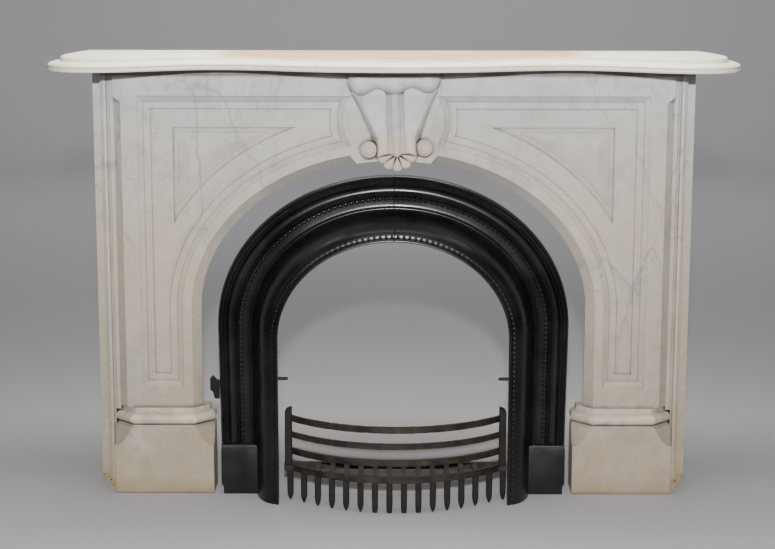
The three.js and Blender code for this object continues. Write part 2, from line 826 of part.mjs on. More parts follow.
function tooth(index) {
  const across = (index - (TOOTH_COUNT - 1) / 2) * TOOTH_PITCH + TOOTH_SHIFT;
  const x = GRATE_X + across;
  const front = rimY(across) + 1.5;
  const half = TOOTH_WIDTH / 2;
  const pointed = Math.abs(across) > 60;
  const tip = pointed ? 2 : half - 1.5;
  const levels = [
    [half, GRATING_BOTTOM - GAP],
    [half, TOOTH_TIP_Z + 20],
    [half - 1, TOOTH_TIP_Z + 12],
    [tip, TOOTH_TIP_Z],
  ];
  return alongZ(levels.map(([width, z]) => [
    [x - width, front, z],
    [x + width, front, z],
    [x + width, front + 9, z],
    [x - width, front + 9, z],
  ]));
}

// The scene graph

const surround = new THREE.Group();

function addPiece(name, geometry, look) {
  const mesh = new THREE.Mesh(geometry, new THREE.MeshStandardMaterial(look));
  mesh.name = name;
  surround.add(mesh);
}

const marble = { color: 0xc9c5bd, roughness: 0.45, metalness: 0 };
const shelfMarble = { color: 0xe2dece, roughness: 0.4, metalness: 0 };
const packing = { color: 0x9b8456, roughness: 0.85, metalness: 0 };
const blackIron = { color: 0x111315, roughness: 0.3, metalness: 0.4 };
const rustyIron = { color: 0x2e2420, roughness: 0.7, metalness: 0.3 };

addPiece('shelf', shelf(), shelfMarble);

const rightPieces = [
  ['front', frontSlab(), marble],
  ['plinth', plinth(), marble],
  ['return_inner', innerReturn(), marble],
  ['return_outer', outerReturn(), marble],
  ['packing_inner', innerPacking(), packing],
  ['packing_outer', outerPacking(), packing],
  ['insert_foot', insertFoot(), blackIron],
];
for (const [name, geometry, look] of rightPieces) {
  addPiece(`${name}_right`, geometry, look);
  addPiece(`${name}_left`, mirrored(geometry), look);
}

addPiece('keystone', keystone(), marble);
addPiece('insert_band', insertBand(), blackIron);
addPiece('side_bracket', sideBracket(), blackIron);
addPiece('peg_right', peg(1), blackIron);
addPiece('peg_left', peg(-1), blackIron);
addPiece('grate_post_right', post(1), rustyIron);
addPiece('grate_post_left', post(-1), rustyIron);

BAR_HEIGHTS.forEach(([low, high], index) => {
  addPiece(`grate_bar_${index + 1}`, bowedBar(low, high), rustyIron);
});
addPiece('grate_floor', grating(), rustyIron);
for (let index = 0; index < TOOTH_COUNT; index += 1) {
  const number = String(index + 1).padStart(2, '0');
  addPiece(`grate_tooth_${number}`, tooth(index), rustyIron);
}

// The finished object stands with the middle of its plan on the Z axis.
const middle = new THREE.Box3().setFromObject(surround).getCenter(new THREE.Vector3());
surround.position.y = -middle.y;

export default surround;
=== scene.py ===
import math

import bmesh
import bpy
import numpy as np
from mathutils import Matrix, Vector, noise


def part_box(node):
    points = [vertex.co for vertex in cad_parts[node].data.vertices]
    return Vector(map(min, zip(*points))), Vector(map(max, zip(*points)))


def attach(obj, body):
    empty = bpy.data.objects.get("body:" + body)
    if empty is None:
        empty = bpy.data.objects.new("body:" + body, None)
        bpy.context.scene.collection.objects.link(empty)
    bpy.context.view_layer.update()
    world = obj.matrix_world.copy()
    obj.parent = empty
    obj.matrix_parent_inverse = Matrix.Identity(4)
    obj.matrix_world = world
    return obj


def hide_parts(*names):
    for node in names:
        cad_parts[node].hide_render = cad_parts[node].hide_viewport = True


# A marble fireplace surround with its cast-iron arch and basket grate.
# Shapes are worked out in millimetres from the plane of the two front slabs,
# with the room on the -Y side, and placed in the frame in metres.

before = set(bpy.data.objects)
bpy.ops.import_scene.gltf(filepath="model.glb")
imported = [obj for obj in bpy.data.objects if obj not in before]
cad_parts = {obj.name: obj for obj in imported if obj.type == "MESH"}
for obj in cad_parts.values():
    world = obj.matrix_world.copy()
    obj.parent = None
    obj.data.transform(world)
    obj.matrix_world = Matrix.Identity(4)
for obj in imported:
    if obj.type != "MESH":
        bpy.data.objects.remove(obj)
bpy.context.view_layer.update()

# Driving sizes in millimetres

GAP = 0.3
WALL_Y = 168
FRONT_TO_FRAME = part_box("return_outer_right")[1].y - WALL_Y / 1000

SHELF_BOTTOM = 1038
SHELF_TOP = 1071
SHELF_CENTRE_REACH = 172
SHELF_RECESS_REACH = 74
SHELF_LOBE_REACH = 189
SHELF_RECESS_X = 395
SHELF_LOBE_X = 690
SHELF_HALF_WIDTH = 809
SHELF_BACK_HALF_WIDTH = 784
SHELF_TIER_INSET = 34

SLAB_HALF_WIDTH = 668
SLAB_THICKNESS = 30
SLAB_FOOT = 212
CORNER_CHAMFER = 18
CHAMFER_STOP_LOW = 957
CHAMFER_STOP_HIGH = 971

OPENING_HALF_WIDTH = 467
OPENING_RISE = 362
SPRING_Z = 456
OPENING_BEVEL = 22
BEVEL_STOP_X = 88

PANEL_FROM_OPENING = 44
PANEL_OUTER_X = 611
PANEL_TOP = 972
PANEL_BOTTOM = 264
PANEL_END_X = 14
PANEL_END_Z = 914
PANEL_END_RADIUS = 107
PANEL_SPLAY = 13
PANEL_FRAME = 31
PANEL_DEPTH = 11

SPANDREL_FROM_OPENING = 118
SPANDREL_OUTER_X = 529
SPANDREL_TOP = 898
SPANDREL_MARGIN = 14
SPANDREL_BEVEL = 25
SPANDREL_DEPTH = 16
SPANDREL_CREST = 7.5

BLOCK_INNER_X = 438
BLOCK_OUTER_X = 680
BLOCK_FRONT_Y = -25
BLOCK_BACK_Y = 60
BLOCK_CORNER = 42
BROACH_TIP = 121
BROACH_TOP = 166
CAP_BOTTOM = 170
CAP_RADIUS = 14
CAP_TOP = CAP_BOTTOM + 33

RETURN_INNER_FRONT_Y = 18
RETURN_INNER_X = 701
RETURN_OUTER_FRONT_Y = 80
RETURN_OUTER_X = 728
RETURN_INNER_FOOT = 21
RETURN_OUTER_FOOT = 18
RETURN_GROOVE_X = 682

KEY_SCROLL_HALF_WIDTH = 110
KEY_SCROLL_BOTTOM = 979
KEY_SCROLL_REACH = 54
KEY_BODY_TOP_HALF_WIDTH = 101
KEY_BODY_FOOT_HALF_WIDTH = 47
KEY_BODY_NARROWED_Z = 875
KEY_BODY_FLARE = 12
KEY_TURN = 2.2
KEY_BODY_FOOT = 833
KEY_BODY_REACH = 38
KEY_ROSETTE_X = 66
KEY_ROSETTE_Z = 849
KEY_ROSETTE_RADIUS = 21
KEY_SHELL_HALF_WIDTH = 50
KEY_SHELL_BOTTOM = 794

BAND_HALF_WIDTH = 425.5
BAND_FOOT_HALF_WIDTH = 419
BAND_SPRING_Z = 418
BAND_RISE = 366
BAND_SQUARENESS = 2.03
MOUTH_HALF_WIDTH = 274
MOUTH_SPRING_Z = 404
MOUTH_RISE = 235
MOUTH_SPLAY = 0.06
BAND_BACK_Y = 12
FOOT_INNER_X = 331
FOOT_OUTER_X = 420
FOOT_HEIGHT = 126
FOOT_FRONT_Y = -27

GRATE_X = 6
POST_INNER_X = 250
POST_OUTER_X = 267
POST_TOP = 231
POST_FRONT_Y = -80
POST_BACK_Y = -62
BOW_FRONT_Y = -187
BOW_END_Y = -58
BAR_DEPTH = 10
BAR_HEIGHTS = ((196, 212), (157, 171), (115.5, 131))
GRATING_BOTTOM = 74
GRATING_TOP = 90
GRATING_BACK_Y = -64
TOOTH_COUNT = 16
TOOTH_PITCH = 34.3
TOOTH_SHIFT = 3
TOOTH_WIDTH = 15
TOOTH_TIP_Z = 2
TOOTH_BLUNT_X = 60

# Mesh helpers


def mix(a, b, t):
    return a + (b - a) * t


def stepped(start, end, steps):
    """Evenly spaced numbers from start to end."""
    return [mix(start, end, i / steps) for i in range(steps + 1)]


def between(start, end, along, out):
    """A point between two others, with a share of its own for each direction."""
    return mix(start[0], end[0], along), mix(start[1], end[1], out)


def clamped(share):
    return min(max(share, 0), 1)


def bell(distance, width):
    """1 at no distance, falling away smoothly over the width."""
    return math.exp(-((distance / width) ** 2))


def hump(share):
    """Rises from 0 to 1 at half the share and falls to 0 again."""
    return math.sin(math.pi * clamped(share))


def level(plan, z):
    """A ring at height z over points in plan."""
    return [(x, y, z) for x, y in plan]


def at_depth(outline, y):
    """A ring at depth y behind points seen from the front."""
    return [(x, y, z) for x, z in outline]


def at_side(section, x):
    """A ring at x from points of a section that runs back and up."""
    return [(x, y, z) for y, z in section]


class Shape:
    """Points in millimetres and faces, gathered from one or more closed bodies."""

    def __init__(self):
        self.points = []
        self.faces = []

    def add(self, points, faces):
        start = len(self.points)
        self.points.extend(tuple(point) for point in points)
        self.faces.extend(tuple(start + i for i in face) for face in faces)
        return self

    def loft(self, rings):
        """A body through rings with the same number of points, capped at both ends."""
        count = len(rings[0])
        top = (len(rings) - 1) * count
        faces = []
        for low in range(0, top, count):
            for i in range(count):
                j = (i + 1) % count
                faces.append((low + i, low + j, low + count + j, low + count + i))
        faces.append(tuple(reversed(range(count))))
        faces.append(tuple(range(top, top + count)))
        return self.add([point for ring in rings for point in ring], faces)

    def box(self, low, high):
        plan = [(low[0], low[1]), (high[0], low[1]), (high[0], high[1]), (low[0], high[1])]
        return self.loft([level(plan, low[2]), level(plan, high[2])])

    def moved(self, x):
        return Shape().add([(a + x, b, c) for a, b, c in self.points], self.faces)

    def mirrored(self):
        turned = [tuple(reversed(face)) for face in self.faces]
        return Shape().add([(-x, y, z) for x, y, z in self.points], turned)


def mesh_of(name, shape):
    """The shape as a mesh in the frame, with every body's faces turned outwards."""
    points = np.array(shape.points, float) / 1000
    points[:, 1] += FRONT_TO_FRAME
    mesh = bpy.data.meshes.new(name)
    mesh.from_pydata(points.tolist(), [], shape.faces)
    work = bmesh.new()
    work.from_mesh(mesh)
    bmesh.ops.recalc_face_normals(work, faces=work.faces)
    work.to_mesh(mesh)
    work.free()
    return mesh


def in_scene(name, data):
    made = bpy.data.objects.new(name, data)
    bpy.context.scene.collection.objects.link(made)
    return made


def place(mesh, node, slot, material, angle):
    """The mesh as the piece for a node, shaded smooth over edges of less than angle degrees."""
    mesh.name = f"{node}_look"
    mesh.shade_smooth()
    mesh.set_sharp_from_angle(angle=math.radians(angle))
    mesh.materials.clear()
    mesh.materials.append(material)
    piece = in_scene(mesh.name, mesh)
    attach(piece, "root")
    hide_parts(node)


def piece_from(shape, node, slot, material, angle=30):
    place(mesh_of(f"{node}_look", shape), node, slot, material, angle)


def carved(body, steps):
    """The mesh of a body after each (operation, shape) has been worked into it."""
    target = in_scene("carved", mesh_of("carved", body))
    helpers = [target]
    for operation, shape in steps:
        helper = in_scene("cutter", mesh_of("cutter", shape))
        change = target.modifiers.new("cut", "BOOLEAN")
        change.operation = operation
        change.solver = "EXACT"
        change.object = helper
        helpers.append(helper)
    graph = bpy.context.evaluated_depsgraph_get()
    mesh = bpy.data.meshes.new_from_object(target.evaluated_get(graph))
    for helper in helpers:
        bpy.data.objects.remove(helper)
    return mesh


def arc(centre_a, centre_b, radius, start, end, steps):
    """Points on an arc in a plane, from start to end in degrees."""
    return [
        (centre_a + radius * math.cos(angle), centre_b + radius * math.sin(angle))
        for angle in map(math.radians, stepped(start, end, steps))
    ]


def catmull(points, steps):
    """A smooth curve through points, with steps pieces between neighbours."""
    points = [np.array(point, float) for point in points]
    ends = [2 * points[0] - points[1], *points, 2 * points[-1] - points[-2]]
    curve = []
    for i in range(1, len(ends) - 2):
        a, b, c, d = ends[i - 1:i + 3]
        for step in range(steps):
            t = step / steps
            curve.append(0.5 * (
                2 * b + (c - a) * t
                + (2 * a - 5 * b + 4 * c - d) * t ** 2
                + (3 * b - a - 3 * c + d) * t ** 3
            ))
    curve.append(points[-1])
    return curve


def travelled(points):
    """How far along the curve each of its points lies."""
    lengths = np.linalg.norm(np.diff(points, axis=0), axis=1)
    return np.concatenate([[0], np.cumsum(lengths)])


def evenly(points, steps):
    """The same curve with points at even distances."""
    points = np.array(points)
    along = travelled(points)
    wanted = np.linspace(0, along[-1], steps + 1)
    return np.stack([np.interp(wanted, along, column) for column in points.T], 1)


# The shelf


def shelf_plan(steps):
    """The front edge from one wall corner round to the other, in plan."""
    centre = (0, -SHELF_CENTRE_REACH)
    recess = (SHELF_RECESS_X, -SHELF_RECESS_REACH)
    lobe = (SHELF_LOBE_X, -SHELF_LOBE_REACH)
    side, back = SHELF_HALF_WIDTH, SHELF_BACK_HALF_WIDTH
    half = [centre]
    half += [between(centre, recess, *at) for at in ((0.3, 0.1), (0.55, 0.4), (0.775, 0.8), (1, 1))]
    half += [between(recess, lobe, *at) for at in ((0.27, 0.1), (0.54, 0.48), (0.78, 0.85), (1, 1))]
    half += [
        (mix(SHELF_LOBE_X, side, 0.47), lobe[1] + 12),
        (mix(SHELF_LOBE_X, side, 0.8), lobe[1] + 48),
        (side - 6, lobe[1] + 95),
        (side, lobe[1] + 145),
        (side - 4, mix(-45, WALL_Y, 0.3)),
        (mix(side, back, 0.5), mix(-45, WALL_Y, 0.65)),
        (back, WALL_Y),
    ]
    mirrored_half = [(-x, y) for x, y in reversed(half[1:])]
    return evenly(catmull(mirrored_half + half, 24), steps)


def shelf_ring(plan, inset, z):
    along = np.gradient(plan, axis=0)
    along /= np.linalg.norm(along, axis=1)[:, None]
    x = plan[:, 0] - along[:, 1] * inset
    y = plan[:, 1] + along[:, 0] * inset
    y[0] = y[-1] = WALL_Y
    return level(zip(x, y), z)


def shelf_shape():
    """The profile, given as (inset, height), run along the front edge; the back is flat."""
    tier = SHELF_TIER_INSET
    nose = 4.4
    profile = [
        (4.5, 0), (2.4, 0.5), (0.9, 1.6), (0.2, 3.4), (0, 5.2), (0.6, 7), (3, 8.4), (5.4, 9),
        (4.4, 9.6), (2.4, 10.4), (1.3, 11.6), (1.2, 12.8), (1.8, 14),
    ]
    hollow = [(3, 15.6), (7, 18), (13, 20), (22, 21.8), (33, 22.8)]
    profile += [tuple(point) for point in catmull(hollow, 3)]
    profile += [(tier + 0.5, 23.3), (tier - 0.3, 24.4), (tier - 1.6, 25.8), (tier - 2, 27.2)]
    profile += arc(tier + 2.2, SHELF_TOP - SHELF_BOTTOM - nose, nose, 165, 90, 7)
    plan = shelf_plan(420)
    return Shape().loft([shelf_ring(plan, inset, SHELF_BOTTOM + up) for inset, up in profile])


# The front slabs: contours for the half where X is positive


def arch_point(angle, offset):
    c, s = math.cos(angle), math.sin(angle)
    length = math.hypot(c / OPENING_HALF_WIDTH, s / OPENING_RISE)
    x = OPENING_HALF_WIDTH * c + offset * c / OPENING_HALF_WIDTH / length
    z = SPRING_Z + OPENING_RISE * s + offset * s / OPENING_RISE / length
    return x, z


def turning_angle(test):
    """The angle in the first quarter where test(angle) changes from true to false."""
    low, high = 0.0, math.pi / 2
    for _ in range(50):
        middle = (low + high) / 2
        low, high = (middle, high) if test(middle) else (low, middle)
    return low


ARCH_STEPS = 96
CUT_BOTTOM = 200


def arch_run(start, end, offset, steps=ARCH_STEPS):
    return [arch_point(angle, offset) for angle in stepped(start, end, steps)]


def bevel_end(offset):
    """Where the bevel stops beside the keystone, on a line that leans outwards."""
    stop_x = BEVEL_STOP_X + offset * 0.77
    return turning_angle(lambda angle: arch_point(angle, offset)[0] > stop_x)


def bevel_contour(offset):
    tip_x, tip_z = arch_point(bevel_end(0), 0)
    contour = [(OPENING_HALF_WIDTH + offset, CUT_BOTTOM)]
    contour += arch_run(0, bevel_end(offset), offset)
    return contour + [(tip_x, tip_z - 1), (tip_x, tip_z - 60), (300, CUT_BOTTOM)]


def opening_contour():
    end = bevel_end(0)
    contour = [(OPENING_HALF_WIDTH, CUT_BOTTOM)]
    contour += arch_run(0, end, 0)
    contour += arch_run(end, math.pi / 2, 0, 16)[1:-1]
    return contour + [(-5, SPRING_Z + OPENING_RISE), (-5, CUT_BOTTOM)]


def panel_contour(inset):
    offset = PANEL_FROM_OPENING + inset
    radius = PANEL_END_RADIUS + inset

    def outside(angle):
        x, z = arch_point(angle, offset)
        return math.hypot(x - PANEL_END_X, z - PANEL_END_Z) > radius

    end = turning_angle(outside)
    end_x, end_z = arch_point(end, offset)
    start = math.degrees(math.atan2(end_z - PANEL_END_Z, end_x - PANEL_END_X))
    stop = math.degrees(math.asin((PANEL_TOP - inset - PANEL_END_Z) / radius))
    side = PANEL_OUTER_X - inset
    contour = [(OPENING_HALF_WIDTH + offset, PANEL_BOTTOM + inset)]
    contour += arch_run(0, end, offset)
    contour += arc(PANEL_END_X, PANEL_END_Z, radius, start, stop, 24)[1:]
    return contour + [(side, PANEL_TOP - inset), (side, PANEL_BOTTOM + inset)]


def spandrel_contour(inset):
    offset = SPANDREL_FROM_OPENING + inset
    side = SPANDREL_OUTER_X - inset
    top = SPANDREL_TOP - inset
    start = turning_angle(lambda angle: arch_point(angle, offset)[0] > side)
    end = turning_angle(lambda angle: arch_point(angle, offset)[1] < top)
    return arch_run(start, end, offset, 64) + [(side, top)]


def chamfer_ring(width, z):
    beyond = SLAB_HALF_WIDTH + 2
    edge = SLAB_HALF_WIDTH - width
    plan = [(beyond, -2), (edge, -2), (edge, 0), (SLAB_HALF_WIDTH, width), (beyond, width)]
    return level(plan, z)


def sunk(contour, steps):
    """A closed body through contours, given as (inset, depth)."""
    return Shape().loft([at_depth(contour(inset), y) for inset, y in steps])


def slab_cutters():
    """Closed bodies for the half where X is positive: five to cut away, then the crest."""
    ends = (-5, SLAB_THICKNESS + 5)
    opening = Shape().loft([at_depth(opening_contour(), y) for y in ends])
    bevel = sunk(bevel_contour, ((OPENING_BEVEL + 2, -2), (0, OPENING_BEVEL)))
    corner = Shape().loft([
        chamfer_ring(CORNER_CHAMFER, SLAB_FOOT - 10),
        chamfer_ring(CORNER_CHAMFER, CHAMFER_STOP_LOW),
        chamfer_ring(0.3, CHAMFER_STOP_HIGH),
    ])
    panel = sunk(panel_contour, (
        (-2, -2), (0, 0.5), (1.2, 1.6),
        (PANEL_SPLAY - 0.8, 6.2), (PANEL_SPLAY, 6.9), (PANEL_SPLAY + 0.6, 8.5),
        (PANEL_FRAME - 2, 7.5), (PANEL_FRAME - 0.8, 8), (PANEL_FRAME, PANEL_DEPTH),
    ))
    spandrel = sunk(spandrel_contour, ((-1, -2), (0, 0.6), (1, SPANDREL_DEPTH)))
    raised = SPANDREL_MARGIN + SPANDREL_BEVEL
    crest = sunk(spandrel_contour, (
        (SPANDREL_MARGIN, SPANDREL_DEPTH + 3),
        (SPANDREL_MARGIN, SPANDREL_DEPTH - 1.5),
        (raised - 1, SPANDREL_CREST + 0.4),
        (raised + 1, SPANDREL_CREST),
    ))
    return [opening, bevel, corner, panel, spandrel, crest]


def front_slab_mesh():
    body = Shape().box(
        (GAP / 2, 0, SLAB_FOOT + GAP),
        (SLAB_HALF_WIDTH, SLAB_THICKNESS, SHELF_BOTTOM - GAP),
    )
    *cutters, crest = slab_cutters()
    return carved(body, [("DIFFERENCE", cutter) for cutter in cutters] + [("UNION", crest)])


def mirrored_mesh(mesh):
    copy = mesh.copy()
    copy.transform(Matrix.Scale(-1, 4, (1, 0, 0)))
    copy.flip_normals()
    return copy


# The plinth blocks


def plinth_ring(spread, clip, z):
    """The block in plan, spread on its three seen sides, with clipped front corners."""
    inner, outer = BLOCK_INNER_X - spread, BLOCK_OUTER_X + spread
    front = BLOCK_FRONT_Y - spread
    return level([
        (inner, BLOCK_BACK_Y), (inner, front + clip), (inner + clip, front),
        (outer - clip, front), (outer, front + clip), (outer, BLOCK_BACK_Y),
    ], z)


def plinth_shape():
    worn = 0.6
    profile = [(-1.2, 1.2, 0), (0, 1.2, 1.6), (0, worn, BROACH_TIP)]
    for share in stepped(0, 1, 12)[1:]:
        clip = mix(worn, BLOCK_CORNER, math.sqrt(share))
        profile.append((0, clip, mix(BROACH_TIP, BROACH_TOP, share)))
    profile.append((-1, BLOCK_CORNER, BROACH_TOP + 1))
    profile += [(-4, BLOCK_CORNER, CAP_BOTTOM - 0.5), (-4, BLOCK_CORNER, CAP_BOTTOM + 1)]
    for spread, z in arc(1 - CAP_RADIUS, CAP_BOTTOM + 16, CAP_RADIUS, -75, 75, 15):
        profile.append((spread, BLOCK_CORNER, z))
    neck = BLOCK_CORNER - 4
    profile += [(-11.5, neck, CAP_TOP - 2), (-13, neck, CAP_TOP), (-13, neck, SLAB_FOOT)]
    return Shape().loft([plinth_ring(*row) for row in profile])


# The stepped returns and their packing


def inner_return_shape():
    """The moulded strip, with its lower part set back where the plinth block stands."""
    inner, outer = SLAB_HALF_WIDTH + GAP, RETURN_INNER_X
    front = RETURN_INNER_FRONT_Y
    groove = RETURN_GROOVE_X
    moulding = [
        (groove + 3, front + 4), (groove + 5, front + 0.4), (groove + 6.5, front),
        (outer - 7.5, front), (outer - 6, front + 0.8), (outer - 5, front + 6),
        (outer - 1, front + 7), (outer, front + 8), (outer, WALL_Y), (inner, WALL_Y),
    ]
    upper = [(inner, front), (groove - 4, front), (groove - 3, front + 4), *moulding]
    beside, behind = BLOCK_OUTER_X + 1 + GAP, BLOCK_BACK_Y + GAP
    lower = [(beside, front + 4), (beside + 0.5, front + 4), *moulding]
    lower += [(inner, behind), (beside, behind)]
    shape = Shape().loft([level(upper, CAP_TOP), level(upper, SHELF_BOTTOM - GAP)])
    return shape.loft([level(lower, RETURN_INNER_FOOT), level(lower, CAP_TOP)])


def outer_return_shape():
    return Shape().box(
        (RETURN_INNER_X + GAP, RETURN_OUTER_FRONT_Y, RETURN_OUTER_FOOT),
        (RETURN_OUTER_X, WALL_Y, SHELF_BOTTOM - GAP),
    )


def packing_shape(left, right, front, back, foot, seed):
    """A small rough block under a strip's foot, its faces uneven inwards."""
    across = 10
    corners = [(left, front), (right, front), (right, back), (left, back)]
    plan = []
    for a, b in zip(corners, corners[1:] + corners[:1]):
        plan += [between(a, b, i / across, i / across) for i in range(across)]
    centre = ((left + right) / 2, (front + back) / 2)
    rings = []
    for z in stepped(0, foot - GAP, 8):
        ring = []
        for x, y in plan:
            uneven = abs(noise.noise(Vector((x * 0.2 + seed, y * 0.2, z * 0.25))))
            shrink = 1 - 0.12 * uneven
            ring.append((*between(centre, (x, y), shrink, shrink), z))
        rings.append(ring)
    return Shape().loft(rings)


# The keystone: scroll, fluted body, two rosettes and a shell


def scroll_wave(x):
    """1 in the middle of each lobe of the scroll and -1 between two lobes."""
    return math.cos(x / KEY_SCROLL_HALF_WIDTH * math.pi * 2.75)


def scroll_shape():
    """The rolled top: five lobes across, each swelling where the lower edge dips."""
    top = SHELF_BOTTOM + 6
    end_z = top - 33
    lobe_dip, lobe_swell, roundness = 5, 3.2, 17
    straight, end_share = 0.78, 0.22
    rings = []
    for turn in stepped(-math.pi / 2, math.pi / 2, 150):
        x = KEY_SCROLL_HALF_WIDTH * math.sin(turn)
        past = max(abs(x) / KEY_SCROLL_HALF_WIDTH - straight, 0) / end_share
        end = math.sqrt(max(1 - past ** 2, 0.0016))
        trough = scroll_wave(x) - 1
        low = mix(end_z, KEY_SCROLL_BOTTOM - lobe_dip * trough, end)
        high = mix(end_z, top, end)
        reach = (KEY_SCROLL_REACH + lobe_swell * trough) * mix(0.55, 1, end)
        ring = [(x, -GAP, high), (x, -GAP, low)]
        for angle in stepped(-math.pi / 2, math.pi / 2, 36):
            y = roundness * (1 - math.cos(angle)) - reach
            ring.append((x, y, mix(low, high, (1 + math.sin(angle)) / 2)))
        rings.append(ring)
    return Shape().loft(rings)


def body_narrowing(z):
    """0 under the scroll, 1 where the sides have run together and go straight down."""
    start = KEY_SCROLL_BOTTOM + 4
    return clamped((start - z) / (start - KEY_BODY_NARROWED_Z))


def body_half_width(z):
    share = body_narrowing(z) ** 0.95
    return mix(KEY_BODY_TOP_HALF_WIDTH, KEY_BODY_FOOT_HALF_WIDTH, share)


def body_foot(share):
    """The lower edge: a tip at the centre and an arched end under each flute."""
    arch = math.sin(math.pi * min(share * 1.08, 1)) ** 0.8
    return KEY_BODY_FOOT - 4 + 9 * arch + 3 * share ** 3


def body_reach(share, x, z):
    """How far the body stands out: a hollow sweep with a rib, two valleys and two flutes."""
    sweep = 12 * hump((KEY_SCROLL_BOTTOM - z) / (KEY_SCROLL_BOTTOM - KEY_BODY_FOOT))
    rib = 5.5 * bell(x, 7)
    valley = 6.5 * bell(abs(x) - 15, 6)
    flute = 2.4 * hump((share - 0.12) / 0.88)
    edge = 6 * max((share - 0.86) / 0.14, 0) ** 2
    return KEY_BODY_REACH - 1 - sweep + rib - valley + flute - edge


def body_shape():
    """Rings run from the back of the left edge over the front to the back of the right edge."""
    rings = []
    for up in stepped(0, 1, 90):
        ring = []
        for signed in stepped(-1, 1, 120):
            share = abs(signed)
            foot = body_foot(share)
            z = mix(foot, KEY_SCROLL_BOTTOM + 14, up)
            x = signed * body_half_width(z)
            round_foot = 4 * (1 - min((z - foot) / 7, 1)) ** 2
            ring.append((x, round_foot - body_reach(share, x, z), z))
        back = []
        for x, _, z in reversed(ring):
            wider = 1 + KEY_BODY_FLARE * body_narrowing(z) ** 1.2 / body_half_width(z)
            back.append((x * wider, -GAP, z))
        rings.append(ring + back)
    return Shape().loft(rings)


def rosette_shape(side):
    """A small volute: a ball flattened against the slab, with a spiral worked into it."""
    steps, around, turns = 26, 72, 2.3
    rings = []
    for k in range(steps):
        share = 1 - k / steps
        radius = KEY_ROSETTE_RADIUS * share
        ring = []
        for i in range(around):
            angle = 2 * math.pi * i / around
            turn = (share * turns + side * i / around) % 1
            groove = 2 * bell(turn - 0.5, 0.16) * min(share * 3, 1) * (share < 0.93)
            ring.append((
                side * KEY_ROSETTE_X + radius * math.cos(angle),
                groove - 22 - 16 * math.sqrt(max(1 - share ** 2.4, 0)),
                KEY_ROSETTE_Z + radius * math.sin(angle),
            ))
        rings.append(ring)
    outer = [(x, -GAP, z) for x, _, z in rings[0]]
    return Shape().loft([outer] + rings)


def shell_shape():
    """Five petals that spread from under the body's tip."""
    petals, per_petal = 5, 16
    count = petals * per_petal
    centre_z = KEY_BODY_FOOT + 5
    edge_reach = 20
    rings = []
    for t in stepped(0, 1, 16):
        inwards, rise = math.cos(t * math.pi / 2) ** 0.8, math.sin(t * math.pi / 2) ** 0.9
        ring = []
        for i in range(count + 1):
            angle = math.pi * i / count
            ridge = abs(math.sin(angle * petals))
            length = mix(KEY_SHELL_HALF_WIDTH, centre_z - KEY_SHELL_BOTTOM, math.sin(angle))
            out = length * (0.84 + 0.16 * ridge ** 0.6) * inwards
            swell = 10 * rise * (0.35 + 0.65 * ridge ** 0.7)
            ring.append((
                -out * math.cos(angle),
                6 * t ** 3 - edge_reach - swell,
                centre_z - out * math.sin(angle) * 0.98,
            ))
        rings.append(ring)
    edge = [(x, -edge_reach, z) for x, _, z in rings[0]]
    back = [(x, -GAP, z) for x, _, z in rings[0]]
    return Shape().loft([back, edge] + rings[1:])


def keystone_shape():
    whole = Shape()
    for part in (scroll_shape(), body_shape(), rosette_shape(-1), rosette_shape(1), shell_shape()):
        whole.add(part.points, part.faces)
    return askew(whole)


def askew(shape):
    """The carving stands a little askew, turned about the middle of its top edge."""
    top = SHELF_BOTTOM - GAP
    c, s = math.cos(math.radians(KEY_TURN)), math.sin(math.radians(KEY_TURN))
    turned = []
    for x, y, z in shape.points:
        drop = z - top
        turned.append((x * c - drop * s, y, min(top + x * s + drop * c, top)))
    return Shape().add(turned, shape.faces)


# The cast-iron arch

# The band's section from its outer edge in: share of its width, then depth in Y
BAND_SECTION = [
    (0.0, 6), (0.004, -7), (0.012, -13), (0.022, -17.5), (0.032, -19.6), (0.042, -20.4),
    (0.052, -19.6), (0.06, -17.6), (0.07, -17), (0.09, -18), (0.106, -21), (0.118, -23.4),
    (0.13, -24.2), (0.142, -23.2), (0.152, -20.4), (0.165, -17), (0.182, -15), (0.2, -14.4),
    (0.24, -14.8), (0.274, -16.6), (0.294, -19.6), (0.304, -21.8), (0.314, -22.6), (0.324, -21.8),
    (0.332, -19.4), (0.34, -18), (0.35, -17.4), (0.38, -17.2), (0.41, -17.2), (0.43, -17.3),
    (0.46, -17.5), (0.49, -17.8), (0.508, -18.8), (0.517, -20.6), (0.527, -21.7), (0.538, -21.8),
    (0.55, -23.6), (0.565, -26.4), (0.585, -31.4), (0.602, -38), (0.618, -47), (0.64, -58),
    (0.67, -70), (0.7, -79), (0.74, -89), (0.78, -97), (0.82, -103), (0.85, -106.4),
    (0.872, -108), (0.88, -110), (0.89, -110.6), (0.912, -110.6), (0.934, -111.4),
    (0.945, -113.4), (0.96, -115.4), (0.972, -116), (0.985, -116), (0.996, -113), (1.0, -108),
]

# Rows of beads: place across the band, then each bead's length, width and height
BEAD_ROWS = ((0.372, 4.6, 5.2, 5.4), (0.912, 3.8, 4.8, 4.2))
BEAD_PITCH_LEG = 11.6
BEAD_PITCH_CROWN = 13.8
BEAD_STEPS = 2400


def band_station(position):
    """Outer and inner edge of the arch; position runs down one leg below zero, else round."""
    if position < 0:
        drop = -position
        return (
            (mix(BAND_HALF_WIDTH, BAND_FOOT_HALF_WIDTH, drop), mix(BAND_SPRING_Z, 0, drop)),
            (MOUTH_HALF_WIDTH, mix(MOUTH_SPRING_Z, 0, drop)),
        )
    c, s = math.cos(position), math.sin(position)
    power = 2 / BAND_SQUARENESS
    signed = math.copysign(abs(c) ** power, c)
    outer = (BAND_HALF_WIDTH * signed, BAND_SPRING_Z + BAND_RISE * abs(s) ** power)
    return outer, (MOUTH_HALF_WIDTH * c, MOUTH_SPRING_Z + MOUTH_RISE * s)


